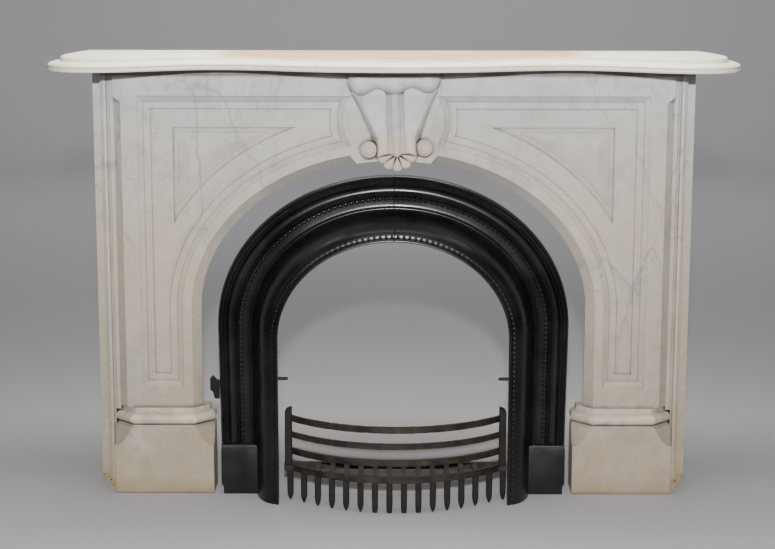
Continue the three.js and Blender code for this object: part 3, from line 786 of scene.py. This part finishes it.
def band_point(position, side, across, y):
    outer, inner = band_station(position)
    return (side * mix(outer[0], inner[0], across), y, mix(outer[1], inner[1], across))


def band_stations():
    """(position, side) pairs from the foot of the right leg round to the foot of the left."""
    legs, turns = 40, 220
    right = [(drop, 1) for drop in stepped(-1, 0, legs)[:-1]]
    round_run = [(math.pi * i / turns, 1) for i in range(turns + 1)]
    left = [(drop, -1) for drop in stepped(0, -1, legs)[1:]]
    return right + round_run + left


def section_depth(across):
    spots = [spot for spot, _ in BAND_SECTION]
    return float(np.interp(across, spots, [depth for _, depth in BAND_SECTION]))


def band_shape():
    """The moulded arch before it is cut back for the foot blocks."""
    rings = []
    for position, side in band_stations():
        ring = []
        for across, y in BAND_SECTION + [(1 - MOUTH_SPLAY, BAND_BACK_Y), (0, BAND_BACK_Y)]:
            ring.append(band_point(position, side, across, y))
        rings.append(ring)
    return Shape().loft(rings)


def beads(shape, across, along, wide, high):
    """A row of beads at that share of the band's width, set half into its surface."""
    depth = section_depth(across)
    line = [band_point(position, side, across, depth) for position, side in band_stations()]
    run = evenly(line, BEAD_STEPS)
    gone = travelled(run)
    spot = 4.0
    while spot < gone[-1] - 4:
        i = int(np.searchsorted(gone, spot))
        tangent = run[min(i + 2, BEAD_STEPS)] - run[max(i - 2, 0)]
        tangent /= np.linalg.norm(tangent)
        outward = np.cross(tangent, (0, 1, 0))
        outward /= np.linalg.norm(outward)
        add_bead(shape, run[i], tangent * along, outward * wide, high)
        spot += mix(BEAD_PITCH_LEG, BEAD_PITCH_CROWN, abs(tangent[0]))


def add_bead(shape, centre, tangent, outward, high):
    """A bead, left out where it would stand in a foot block or below the floor."""
    steps, around = 5, 10
    rings = []
    for k in range(steps):
        lift = math.radians(mix(-20, 64, k / (steps - 1)))
        ring = []
        for i in range(around):
            angle = 2 * math.pi * i / around
            spot = centre + math.cos(lift) * (math.cos(angle) * tangent + math.sin(angle) * outward)
            ring.append((spot[0], spot[1] - high * math.sin(lift), spot[2]))
        rings.append(ring)
    points = [point for ring in rings for point in ring]
    lowest = min(z for _, _, z in points)
    outermost = max(abs(x) for x, _, _ in points)
    in_foot = outermost > FOOT_INNER_X - 1 and lowest < FOOT_HEIGHT + 2
    if lowest >= 2 and not in_foot:
        shape.loft(rings)


def insert_band_mesh():
    """The arch with its bead rows, cut back at the two feet."""
    block = Shape().box(
        (FOOT_INNER_X - GAP, -200, -5), (BAND_HALF_WIDTH + 20, 50, FOOT_HEIGHT + GAP)
    )
    blocks = (block.mirrored(), block)
    mesh = carved(band_shape(), [("DIFFERENCE", block) for block in blocks])
    rows = Shape()
    for row in BEAD_ROWS:
        beads(rows, *row)
    work = bmesh.new()
    work.from_mesh(mesh)
    work.from_mesh(mesh_of("beads", rows))
    work.to_mesh(mesh)
    work.free()
    return mesh


def foot_shape():
    """A block with a groove under its rounded top; each row is (outer inset, inset, height)."""
    top = FOOT_HEIGHT
    rows = [
        (5, 0, 0), (5, 0, 21.5), (4, 0, 23.5), (0, 0, 26), (0, 0, top - 12),
        (1.2, 1.2, top - 9), (1.2, 1.2, top - 7), (0, 0, top - 6),
        (0.6, 0.6, top - 4), (3, 3, top - 1.5), (6, 6, top),
    ]
    rings = []
    for outer_inset, front_inset, z in rows:
        outer = FOOT_OUTER_X - outer_inset
        front = FOOT_FRONT_Y + front_inset
        rings.append(level([
            (FOOT_INNER_X, BAND_BACK_Y), (FOOT_INNER_X, front),
            (outer - 1.5, front), (outer, front + 1.5), (outer, BAND_BACK_Y),
        ], z))
    return Shape().loft(rings)


def bracket_shape():
    """The small bracket at the arch's left outer edge, its outline as (out, up)."""
    edge = -(mix(BAND_HALF_WIDTH, BAND_FOOT_HALF_WIDTH, 0.3) + GAP)
    outline = [
        (0, 236), (9, 236), (12, 239), (14, 245), (14, 251), (17, 254), (21, 257), (22, 260),
        (22, 286), (20.5, 289), (16, 291.5), (13, 291), (11, 287), (7, 283), (0, 280),
    ]
    centre_out, centre_z = 10, 264
    rings = []
    for scale, y in ((1, 2), (1, -12.5), (0.94, -14)):
        rings.append(at_depth([
            (edge - mix(centre_out, out, scale), mix(centre_z, up, scale)) for out, up in outline
        ], y))
    return Shape().loft(rings)


def peg_shape(side):
    start = MOUTH_HALF_WIDTH + 6.5
    rings = []
    for distance, radius in ((0, 4), (20, 4), (20.6, 3.2), (23.5, 3.2), (24.5, 2.4)):
        circle = arc(-12, 287, radius, 0, 360, 24)[:-1]
        rings.append(at_side(circle, side * (start - distance)))
    return Shape().loft(rings)


# The basket grate

BOW_SAGITTA = BOW_END_Y - BOW_FRONT_Y
BOW_RADIUS = (POST_OUTER_X ** 2 + BOW_SAGITTA ** 2) / (2 * BOW_SAGITTA)


def bow_y(x):
    return BOW_FRONT_Y + BOW_RADIUS - math.sqrt(BOW_RADIUS ** 2 - x * x)


def post_shape(side):
    low = GRATING_TOP + GAP
    outline = [(POST_OUTER_X, low), (POST_INNER_X, low), (POST_INNER_X, POST_TOP - 1)]
    outline += [(POST_INNER_X + 1, POST_TOP), (POST_INNER_X + 4, POST_TOP)]
    outline += arc(POST_INNER_X + 4, POST_TOP - 14, 13, 80, 8, 8)
    centre_x, centre_z = (POST_INNER_X + POST_OUTER_X) / 2, (low + POST_TOP) / 2
    rings = []
    for shrink, y in ((1, POST_BACK_Y), (1, POST_FRONT_Y + 1.5), (0.86, POST_FRONT_Y)):
        shrink_up = mix(1, shrink, 0.1)
        rings.append(at_depth([
            (side * mix(centre_x, x, shrink), mix(centre_z, z, shrink_up)) for x, z in outline
        ], y))
    return Shape().loft(rings).moved(GRATE_X)


def rough(x, z, seed, size):
    """A small unevenness between zero and size, for iron that has scaled."""
    return size * abs(noise.noise(Vector((x * 0.05 + seed, z * 0.09, seed * 3.1))))


def bar_shape(low, high, seed):
    reach = POST_INNER_X - GAP
    rings = []
    for x in stepped(-reach, reach, 160):
        wear = rough(x, low, seed, 0.9)
        front, back = bow_y(x) + wear, bow_y(x) + BAR_DEPTH - wear * 0.5
        bottom, top = low + wear, high - wear
        rings.append(at_side([
            (front, bottom + 1.5), (front + 1.5, bottom), (back - 1, bottom), (back, bottom + 1),
            (back, top - 1), (back - 1, top), (front + 1.5, top), (front, top - 1.5),
        ], x))
    return Shape().loft(rings).moved(GRATE_X)


def rim_y(x):
    """The rim follows the bars and runs on under the posts."""
    return min(bow_y(x), POST_FRONT_Y)


def tooth_x(index):
    return (index - (TOOTH_COUNT - 1) / 2) * TOOTH_PITCH + TOOTH_SHIFT


def grating_shape():
    """A bowed rim, a straight back bar and the ribs between them."""
    reach = POST_OUTER_X + 2
    bottom, top = GRATING_BOTTOM, GRATING_TOP
    back = GRATING_BACK_Y + 14
    rings = []
    for x in stepped(-reach, reach, 120):
        front = rim_y(x) + rough(x, bottom, 40, 0.8)
        inner = min(rim_y(x) + 13, back)
        rings.append(at_side([
            (front, bottom + 1), (front + 1, bottom), (inner, bottom),
            (inner, top), (front + 1.5, top), (front, top - 1.5),
        ], x))
    shape = Shape().loft(rings).box((-reach, GRATING_BACK_Y + 1, bottom), (reach, back, top))
    half = TOOTH_PITCH / 2 - 11
    for x in map(tooth_x, range(TOOTH_COUNT)):
        front = rim_y(x) + 11
        if GRATING_BACK_Y - front > 0 and abs(x) + half < reach:
            shape.box((x - half, front, bottom + 0.5), (x + half, GRATING_BACK_Y + 3, top - 0.5))
    return shape.moved(GRATE_X)


def tooth_shape(index):
    """Pointed towards the ends of the row and blunt in the middle."""
    x = tooth_x(index)
    front = rim_y(x) + 1.5
    half = TOOTH_WIDTH / 2
    tip = 2 if abs(x) > TOOTH_BLUNT_X else half - 1.5
    rings = []
    for z in stepped(GRATING_BOTTOM - GAP, TOOTH_TIP_Z, 12):
        down = max((TOOTH_TIP_Z + 22 - z) / 22, 0)
        width = mix(half, tip, down ** 1.7) - rough(x * 3, z, index, 0.7)
        thin = 1.6 * down ** 2
        near, far = front + thin, front + 9 - thin
        left, right = x - width, x + width
        rings.append(level([
            (left, near + 1.5), (left + 1.5, near), (right - 1.5, near),
            (right, near + 1.5), (right, far), (left, far),
        ], z))
    return Shape().loft(rings).moved(GRATE_X)


# Materials


class Nodes:
    """A short way to write a material whose base colour is laid on in coats."""

    def __init__(self, name):
        self.material = bpy.data.materials.new(name)
        self.material.use_nodes = True
        self.tree = self.material.node_tree
        self.shader = self.tree.nodes["Principled BSDF"]
        self.source = self.node("TexCoord")

    def feed(self, socket, value):
        """Links another node's output to the socket, or sets a plain value on it."""
        if isinstance(value, bpy.types.NodeSocket):
            self.tree.links.new(value, socket)
        elif socket.type == "RGBA":
            socket.default_value = (*value, 1)
        else:
            socket.default_value = value

    def node(self, kind, **inputs):
        made = self.tree.nodes.new("ShaderNode" + kind)
        for name, value in inputs.items():
            self.feed(made.inputs[name], value)
        return made

    def axis(self, name, of="Object"):
        """One part of the place, or of the direction in which the face looks."""
        return self.node("SeparateXYZ", Vector=self.source.outputs[of]).outputs[name]

    def moved(self, offset=(0, 0, 0), scale=(1, 1, 1), turn=(0, 0, 0)):
        """The place, moved, stretched and turned by degrees."""
        place = self.source.outputs["Object"]
        turn = [math.radians(a) for a in turn]
        node = self.node("Mapping", Vector=place, Location=offset, Rotation=turn, Scale=scale)
        return node.outputs["Vector"]

    def noise(self, vector, scale, detail=4, rough=0.55, distortion=0, output="Fac"):
        node = self.node("TexNoise", Vector=vector, Scale=scale, Detail=detail, Roughness=rough)
        node.inputs["Distortion"].default_value = distortion
        return node.outputs[output]

    def warped(self, vector, scale, amount):
        """The place pushed about by noise, for veins that wander."""
        push = self.noise(vector, scale, detail=5, rough=0.5, output="Color")
        centred = self.maths("SUBTRACT", push, (0.5, 0.5, 0.5), kind="VectorMath")
        grown = self.maths("MULTIPLY", centred, (amount, amount, amount), kind="VectorMath")
        return self.maths("ADD", vector, grown, kind="VectorMath")

    def cells(self, vector, scale):
        """How far the nearest border between cells is."""
        node = self.node("TexVoronoi", Vector=vector, Scale=scale)
        node.feature = "DISTANCE_TO_EDGE"
        return node.outputs["Distance"]

    def recess(self, distance):
        """1 in the open, less in corners and grooves no wider than distance."""
        node = self.node("AmbientOcclusion", Distance=distance)
        node.samples = 8
        return node.outputs["AO"]

    def gradient(self, value, stops):
        """A colour that passes through the stops, given as (value, colour)."""
        node = self.node("ValToRGB", Fac=value)
        points = node.color_ramp.elements
        while len(points) < len(stops):
            points.new(1.0)
        for point, (position, colour) in zip(points, stops):
            point.position = position
            point.color = (*colour, 1)
        return node.outputs["Color"]

    def ramp(self, value, low, high, start=0.0, end=1.0):
        """A share that goes from start to end as value goes from low to high."""
        node = self.node("MapRange", Value=value)
        names = ("From Min", "From Max", "To Min", "To Max")
        for name, number in zip(names, (low, high, start, end)):
            node.inputs[name].default_value = number
        return node.outputs["Result"]

    def maths(self, operation, a, b=0, kind="Math"):
        node = self.node(kind)
        node.operation = operation
        self.feed(node.inputs[0], a)
        self.feed(node.inputs[1], b)
        return node.outputs[0]

    def times(self, a, b):
        return self.maths("MULTIPLY", a, b)

    def start(self, share, a, b):
        """The first coat, mixed from two colours."""
        self.colour = a
        self.coat(share, b)

    def coat(self, share, colour):
        node = self.node("Mix")
        node.data_type = "RGBA"
        for index, value in ((0, share), (6, self.colour), (7, colour)):
            self.feed(node.inputs[index], value)
        self.colour = node.outputs[2]

    def marks(self, value, low, high, share, colour):
        """A coat that grows to its share as value goes from low to high."""
        self.coat(self.ramp(value, low, high, 0, share), colour)

    def bump(self, height, distance, strength):
        node = self.node("Bump", Strength=strength, Distance=distance, Height=height)
        self.feed(self.shader.inputs["Normal"], node.outputs["Normal"])

    def finish(self, roughness, specular):
        self.feed(self.shader.inputs["Base Color"], self.colour)
        self.feed(self.shader.inputs["Roughness"], roughness)
        self.feed(self.shader.inputs["Specular IOR Level"], specular)
        return self.material


# White marble by height in metres: cool under the shelf, warmer and darker to the floor; the
# darkening is partly the stone's tone and partly painted shade of light falling off downwards
MARBLE_BY_HEIGHT = (
    (0.0, (0.35, 0.27, 0.165)),
    (0.08, (0.35, 0.295, 0.21)),
    (0.167, (0.37, 0.315, 0.235)),
    (0.24, (0.415, 0.35, 0.275)),
    (0.38, (0.43, 0.37, 0.295)),
    (0.62, (0.525, 0.45, 0.36)),
    (0.9, (0.585, 0.565, 0.53)),
    (1.0, (0.58, 0.595, 0.645)),
)


def white_marble(name, offset, turn, vein_strength=1.0, pale=0.0, cap=0.0):
    """Light veined marble, with dirt and painted shade in its corners, a painted shadow under the
    shelf, painted shade on faces that look down, and stains near the floor.

    pale is the share of a paler stone, used for the carving, whose hollows then also get painted
    shade, and cap how much lighter and warmer a plinth block's rounded cap is than its block.
    """
    n = Nodes(name)
    here = n.moved(offset=offset)
    height = n.axis("Z")

    def elsewhere(y, z, x=0):
        return n.moved(offset=(offset[0] + x, y, z))

    n.start(pale, n.gradient(height, MARBLE_BY_HEIGHT), (0.70, 0.70, 0.70))
    if cap:
        n.marks(height, 0.1665, 0.1695, cap, (0.62, 0.545, 0.43))

    # Clouds and mottling
    cloud = n.noise(here, 5, detail=6, rough=0.6, distortion=0.4)
    n.marks(cloud, 0.46, 0.74, 0.4, (0.45, 0.435, 0.43))
    mottle = n.noise(elsewhere(2, 7), 24, detail=6, rough=0.65)
    n.marks(mottle, 0.48, 0.70, 0.52, (0.38, 0.36, 0.34))
    warm = n.noise(elsewhere(1, 2, x=3), 3.5, detail=3)
    n.marks(warm, 0.5, 0.75, 0.3, (0.60, 0.54, 0.46))
    light_patch = n.noise(elsewhere(6, 1), 7)
    n.marks(light_patch, 0.55, 0.75, 0.3, (0.68, 0.66, 0.63))

    # Veins
    streaks = n.moved(offset=offset, scale=(2.6, 2.6, 1.2), turn=turn)
    soft = n.noise(n.warped(streaks, 1.5, 0.5), 3.2, detail=5, rough=0.6)
    n.coat(n.times(n.ramp(soft, 0.56, 0.72), 0.58 * vein_strength), (0.36, 0.35, 0.345))
    vein = n.cells(n.warped(streaks, 2.2, 0.55), 2.3)
    fine = n.cells(n.warped(streaks, 5, 0.35), 5.5)
    patch = n.noise(here, 2.6, detail=2)
    strength = n.ramp(patch, 0.44, 0.62, 0.05, 0.75 * vein_strength)
    strength = n.times(strength, n.ramp(height, 0.15, 0.3, 0.3, 1.0))
    n.coat(n.times(n.ramp(vein, 0.03, 0.0), strength), (0.27, 0.27, 0.28))
    n.coat(n.times(n.ramp(fine, 0.018, 0.0), strength), (0.30, 0.29, 0.29))

    # Stains and grime towards the floor
    low = n.ramp(height, 0.24, 0.0)
    stain = n.noise(elsewhere(4, offset[2]), 9, detail=5)
    n.coat(n.times(low, n.ramp(stain, 0.40, 0.66, 0, 0.8)), (0.42, 0.34, 0.21))
    pink = n.noise(elsewhere(9, offset[2]), 12, detail=3)
    n.coat(n.times(low, n.ramp(pink, 0.55, 0.75, 0, 0.4)), (0.52, 0.40, 0.34))
    foot = n.ramp(height, 0.045, 0.0)
    n.coat(n.times(foot, n.ramp(stain, 0.35, 0.6, 0.15, 0.95)), (0.25, 0.18, 0.09))
    grime = n.noise(elsewhere(5, 3), 34, detail=8, rough=0.75)
    grimy = n.times(n.ramp(grime, 0.44, 0.64), n.ramp(height, 0.62, 0.2, 0.12, 0.5))
    n.coat(grimy, (0.27, 0.245, 0.205))
    speck = n.noise(here, 95, detail=2)
    specks = n.times(n.ramp(speck, 0.64, 0.72), n.ramp(height, 0.7, 0.05, 0.12, 0.7))
    n.coat(specks, (0.28, 0.24, 0.21))

    # Painted shadow under the shelf, dirt and painted shade in the corners, and painted shade on
    # faces that look down
    uneven = n.ramp(n.noise(here, 14, detail=3), 0.3, 0.7, 0.45, 1.0)
    # A dark band just under the shelf: painted shadow of the shelf
    painted_shelf_shadow = n.times(n.ramp(height, 1.015, 1.022, 0, 0.93), n.ramp(uneven, 0.45, 0.8, 0.75, 1.0))
    n.coat(painted_shelf_shadow, (0.13, 0.11, 0.10))
    # Corners and grooves darkened by occlusion: partly dirt, partly painted shade
    dust_and_painted_shade = n.times(n.ramp(n.recess(0.012), 0.93, 0.45), uneven)
    n.coat(dust_and_painted_shade, (0.12, 0.105, 0.09))
    # Faces that look down, above 0.62 m, get painted shade
    under = n.ramp(n.axis("Z", of="Normal"), -0.2, -0.7)
    n.coat(n.times(under, n.ramp(height, 0.62, 0.78, 0, 0.8)), (0.33, 0.31, 0.30))
    if pale:
        n.marks(height, 0.89, 0.865, 0.7, (0.62, 0.52, 0.43))
        # The carving's hollows get painted shade, near black
        n.marks(n.recess(0.03), 0.68, 0.42, 0.9, (0.05, 0.045, 0.04))
    n.bump(n.noise(here, 60), 0.0005, 0.5)
    return n.finish(n.ramp(cloud, 0.3, 0.8, 0.42, 0.6), 0.35)


def cream_marble():
    """The shelf: smooth cream-white marble, peach-coloured on the middle of its top."""
    n = Nodes("cream marble")
    here = n.moved()
    cloud = n.noise(n.moved(scale=(1, 2.5, 4)), 3.2, detail=5)
    n.start(n.ramp(cloud, 0.4, 0.7), (0.95, 0.91, 0.80), (0.91, 0.86, 0.74))
    pale = n.noise(n.moved(offset=(5, 1, 0)), 2.1)
    n.marks(pale, 0.5, 0.7, 0.7, (0.94, 0.92, 0.84))
    across = n.maths("ABSOLUTE", n.maths("ADD", n.axis("X"), -0.02))
    worn = n.times(n.ramp(across, 0.46, 0.40), n.ramp(n.axis("Z"), 1.0655, 1.0695))
    n.coat(n.times(worn, n.ramp(cloud, 0.25, 0.7, 1.0, 0.6)), (0.66, 0.36, 0.18))
    streak = n.noise(n.moved(scale=(0.6, 3, 9)), 12)
    n.marks(streak, 0.55, 0.75, 0.3, (0.70, 0.66, 0.58))
    speck = n.noise(here, 70, detail=2)
    n.marks(speck, 0.68, 0.75, 0.4, (0.55, 0.47, 0.36))
    n.bump(n.noise(here, 45, detail=3), 0.0005, 0.4)
    return n.finish(0.42, 0.35)


def packing_material():
    """Rough brown packing."""
    n = Nodes("packing")
    grain = n.noise(n.moved(), 55, detail=5)
    n.start(n.ramp(grain, 0.35, 0.7), (0.40, 0.30, 0.14), (0.20, 0.14, 0.07))
    n.bump(grain, 0.002, 0.8)
    return n.finish(0.9, 0.5)


def black_iron():
    """Polished black cast iron with a fine sand-cast grain and a seam at the crown."""
    n = Nodes("black iron")
    here = n.moved()
    wear = n.noise(here, 9)
    n.start(n.ramp(wear, 0.4, 0.7), (0.004, 0.004, 0.005), (0.011, 0.011, 0.012))
    dusty = n.times(n.ramp(n.axis("Z"), 0.05, 0.0, 0, 0.15), n.ramp(wear, 0.35, 0.6))
    n.coat(dusty, (0.04, 0.032, 0.02))
    wander = n.times(n.noise(n.moved(scale=(1, 1, 40)), 1.0, detail=2), 0.004)
    seam = n.ramp(n.maths("ABSOLUTE", n.maths("SUBTRACT", n.axis("X"), wander)), 0.0, 0.0012)
    grain = n.times(n.noise(here, 220, detail=3), 0.3)
    n.bump(n.maths("ADD", grain, seam), 0.0012, 0.4)
    return n.finish(n.ramp(wear, 0.3, 0.7, 0.22, 0.34), 0.34)


def rusty_iron(name, rust):
    """Iron burnt brown and black by the fire, with scale and flecks of ash."""
    n = Nodes(name)
    here = n.moved()
    scale = n.noise(here, 28, detail=6, rough=0.65)
    rusty_brown = (0.05 * rust, 0.036 * rust, 0.026 * rust)
    n.start(n.ramp(scale, 0.4, 0.62), (0.009, 0.008, 0.007), rusty_brown)
    ash = n.noise(n.moved(offset=(2, 3, 1)), 60)
    n.marks(ash, 0.62, 0.76, 0.5, (0.14 * rust, 0.11 * rust, 0.085 * rust))
    n.bump(scale, 0.0015, 0.6)
    return n.finish(n.ramp(scale, 0.3, 0.7, 0.4, 0.75), 0.28)


# Putting the pieces in place


def both_sides(name, shape, slot, materials, angle=30):
    """The right piece and its mirror image on the left."""
    for side, half in (("right", shape), ("left", shape.mirrored())):
        piece_from(half, f"{name}_{side}", slot, materials[side], angle)


SIDES = {"right": 1, "left": -1}

grain_right, grain_left = (0.3, 0.2, 0.4), (4.1, 2.6, 1.7)
marble = {
    "right": white_marble("marble right", grain_right, (0, 38, 0)),
    "left": white_marble("marble left", grain_left, (0, 52, 0), 0.8),
}
plinth_marble = {
    "right": white_marble("marble plinth right", grain_right, (0, 38, 0), cap=0.95),
    "left": white_marble("marble plinth left", grain_left, (0, 52, 0), 0.8, cap=0.95),
}
key_marble = white_marble("marble keystone", (7.3, 0.6, 2.9), (0, 20, 0), 0.5, pale=0.75)
packing = dict.fromkeys(SIDES, packing_material())
black = black_iron()
rusty = rusty_iron("rusty iron", 0.7)
sooty = rusty_iron("sooty iron", 0.15)

piece_from(shelf_shape(), "shelf", "marble_shelf", cream_marble(), 32)

slab_mesh = front_slab_mesh()
for side_name, mesh in (("right", slab_mesh), ("left", mirrored_mesh(slab_mesh))):
    place(mesh, f"front_{side_name}", "marble", marble[side_name], 14)

both_sides("plinth", plinth_shape(), "marble", plinth_marble, 20)
both_sides("return_inner", inner_return_shape(), "marble", marble, 25)
both_sides("return_outer", outer_return_shape(), "marble", marble, 25)
both_sides("packing_inner", packing_shape(
    BLOCK_OUTER_X + 2, RETURN_INNER_X - 4,
    RETURN_INNER_FRONT_Y + 3, RETURN_INNER_FRONT_Y + 60, RETURN_INNER_FOOT, 1,
), "packing", packing)
both_sides("packing_outer", packing_shape(
    RETURN_INNER_X + 3, RETURN_OUTER_X - 4,
    RETURN_OUTER_FRONT_Y + 2, RETURN_OUTER_FRONT_Y + 50, RETURN_OUTER_FOOT, 5,
), "packing", packing)

piece_from(keystone_shape(), "keystone", "marble", key_marble, 50)

place(insert_band_mesh(), "insert_band", "black_iron", black, 40)
both_sides("insert_foot", foot_shape(), "black_iron", dict.fromkeys(SIDES, black))
piece_from(bracket_shape(), "side_bracket", "black_iron", black)
for side_name, side in SIDES.items():
    piece_from(peg_shape(side), f"peg_{side_name}", "black_iron", rusty, 40)

for side_name, side in SIDES.items():
    piece_from(post_shape(side), f"grate_post_{side_name}", "rusty_iron", sooty)
for index, (low, high) in enumerate(BAR_HEIGHTS):
    bar = bar_shape(low, high, index * 7.7)
    piece_from(bar, f"grate_bar_{index + 1}", "rusty_iron", rusty)
piece_from(grating_shape(), "grate_floor", "rusty_iron", rusty)
for index in range(TOOTH_COUNT):
    piece_from(tooth_shape(index), f"grate_tooth_{index + 1:02d}", "rusty_iron", sooty)

# The stage: a pale floor that turns up into a backdrop, soft lights and the camera


def stage_floor():
    """A floor that turns up into a backdrop, a hair below the feet; sizes in metres."""
    half, front, back, height, turn = 10.0, -9.0, 8.0, 6.0, 1.6
    line = [(front, 0.0)] + arc(back - turn, turn, turn, -90, 0, 16) + [(back, height)]
    points = [(x, y, z - 0.0002) for y, z in line for x in (-half, half)]
    faces = [(2 * i, 2 * i + 1, 2 * i + 3, 2 * i + 2) for i in range(len(line) - 1)]
    mesh = bpy.data.meshes.new("floor")
    mesh.from_pydata(points, [], faces)
    mesh.shade_smooth()
    n = Nodes("pale floor")
    n.colour = (0.46, 0.45, 0.465)
    mesh.materials.append(n.finish(0.9, 0.1))
    floor = in_scene("floor", mesh)


def lamp(name, kind, place_at, aim, power, colour, **settings):
    """A lamp that shines from one place towards another."""
    light = bpy.data.lights.new(name, kind)
    light.energy = power
    light.color = colour
    for setting, value in settings.items():
        setattr(light, setting, value)
    holder = in_scene(name, light)
    holder.location = place_at
    direction = Vector(aim) - Vector(place_at)
    holder.rotation_euler = direction.to_track_quat("-Z", "Y").to_euler()


def area_light(name, place_at, aim, size, power, colour=(1, 1, 1)):
    width, depth = size
    lamp(name, "AREA", place_at, aim, power, colour, shape="RECTANGLE", size=width, size_y=depth)


def stage_lights():
    # The key lamp's cone is narrow, so that the floor in front throws up little light
    cone = math.radians(40)
    lamp(
        "key", "SPOT", (0.0, -4.25, 1.70), (0, 0, 0.62), 920, (1.0, 0.985, 0.96),
        shadow_soft_size=0.05, spot_size=cone, spot_blend=0.25,
    )
    area_light("above", (0.0, 0.02, 1.6), (0, 0.019, 1.07), (1.9, 0.25), 20, (1.0, 0.97, 0.90))
    area_light("overhead", (0.0, -0.8, 3.4), (0, -0.3, 0.6), (2.2, 1.0), 24)
    area_light("backdrop", (0.0, 4.6, 4.2), (0, 8.0, 0.8), (7.0, 1.0), 150)
    area_light("rear", (0.0, 4.0, 3.4), (0, 0, 0.5), (3.0, 1.0), 32)
    area_light("left", (-3.4, -2.6, 1.6), (0, 0, 0.6), (1.4, 1.4), 7, (0.96, 0.98, 1.0))
    area_light("right", (3.4, -2.6, 1.6), (0, 0, 0.6), (1.4, 1.4), 6)
    world = bpy.data.worlds.new("studio")
    world.use_nodes = True
    background = world.node_tree.nodes["Background"]
    background.inputs["Color"].default_value = (0.95, 0.97, 1.0, 1)
    background.inputs["Strength"].default_value = 0.05
    bpy.context.scene.world = world


# The camera: the photograph's width and focal length in pixels, metres and degrees
PHOTO_WIDTH = 775
FOCAL_PIXELS = 1768.0
SENSOR_WIDTH = 36
CAMERA_DISTANCE = 4.2
CAMERA_HEIGHT = 1.309
PITCH_DOWN = 10.34
YAW_LEFT = 0.194
ROLL = 0.1


def stage_camera():
    data = bpy.data.cameras.new("camera")
    data.sensor_width = SENSOR_WIDTH
    data.lens = FOCAL_PIXELS / PHOTO_WIDTH * SENSOR_WIDTH
    data.clip_end = 60
    camera = in_scene("camera", data)
    camera.location = (0, -CAMERA_DISTANCE + FRONT_TO_FRAME, CAMERA_HEIGHT)
    turn = Matrix.Rotation(math.radians(YAW_LEFT), 4, "Z")
    tilt = Matrix.Rotation(math.radians(90 - PITCH_DOWN), 4, "X")
    roll = Matrix.Rotation(math.radians(ROLL), 4, "Z")
    camera.rotation_mode = "QUATERNION"
    camera.rotation_quaternion = (turn @ tilt @ roll).to_quaternion()
    bpy.context.scene.camera = camera


stage_floor()
stage_lights()
stage_camera()
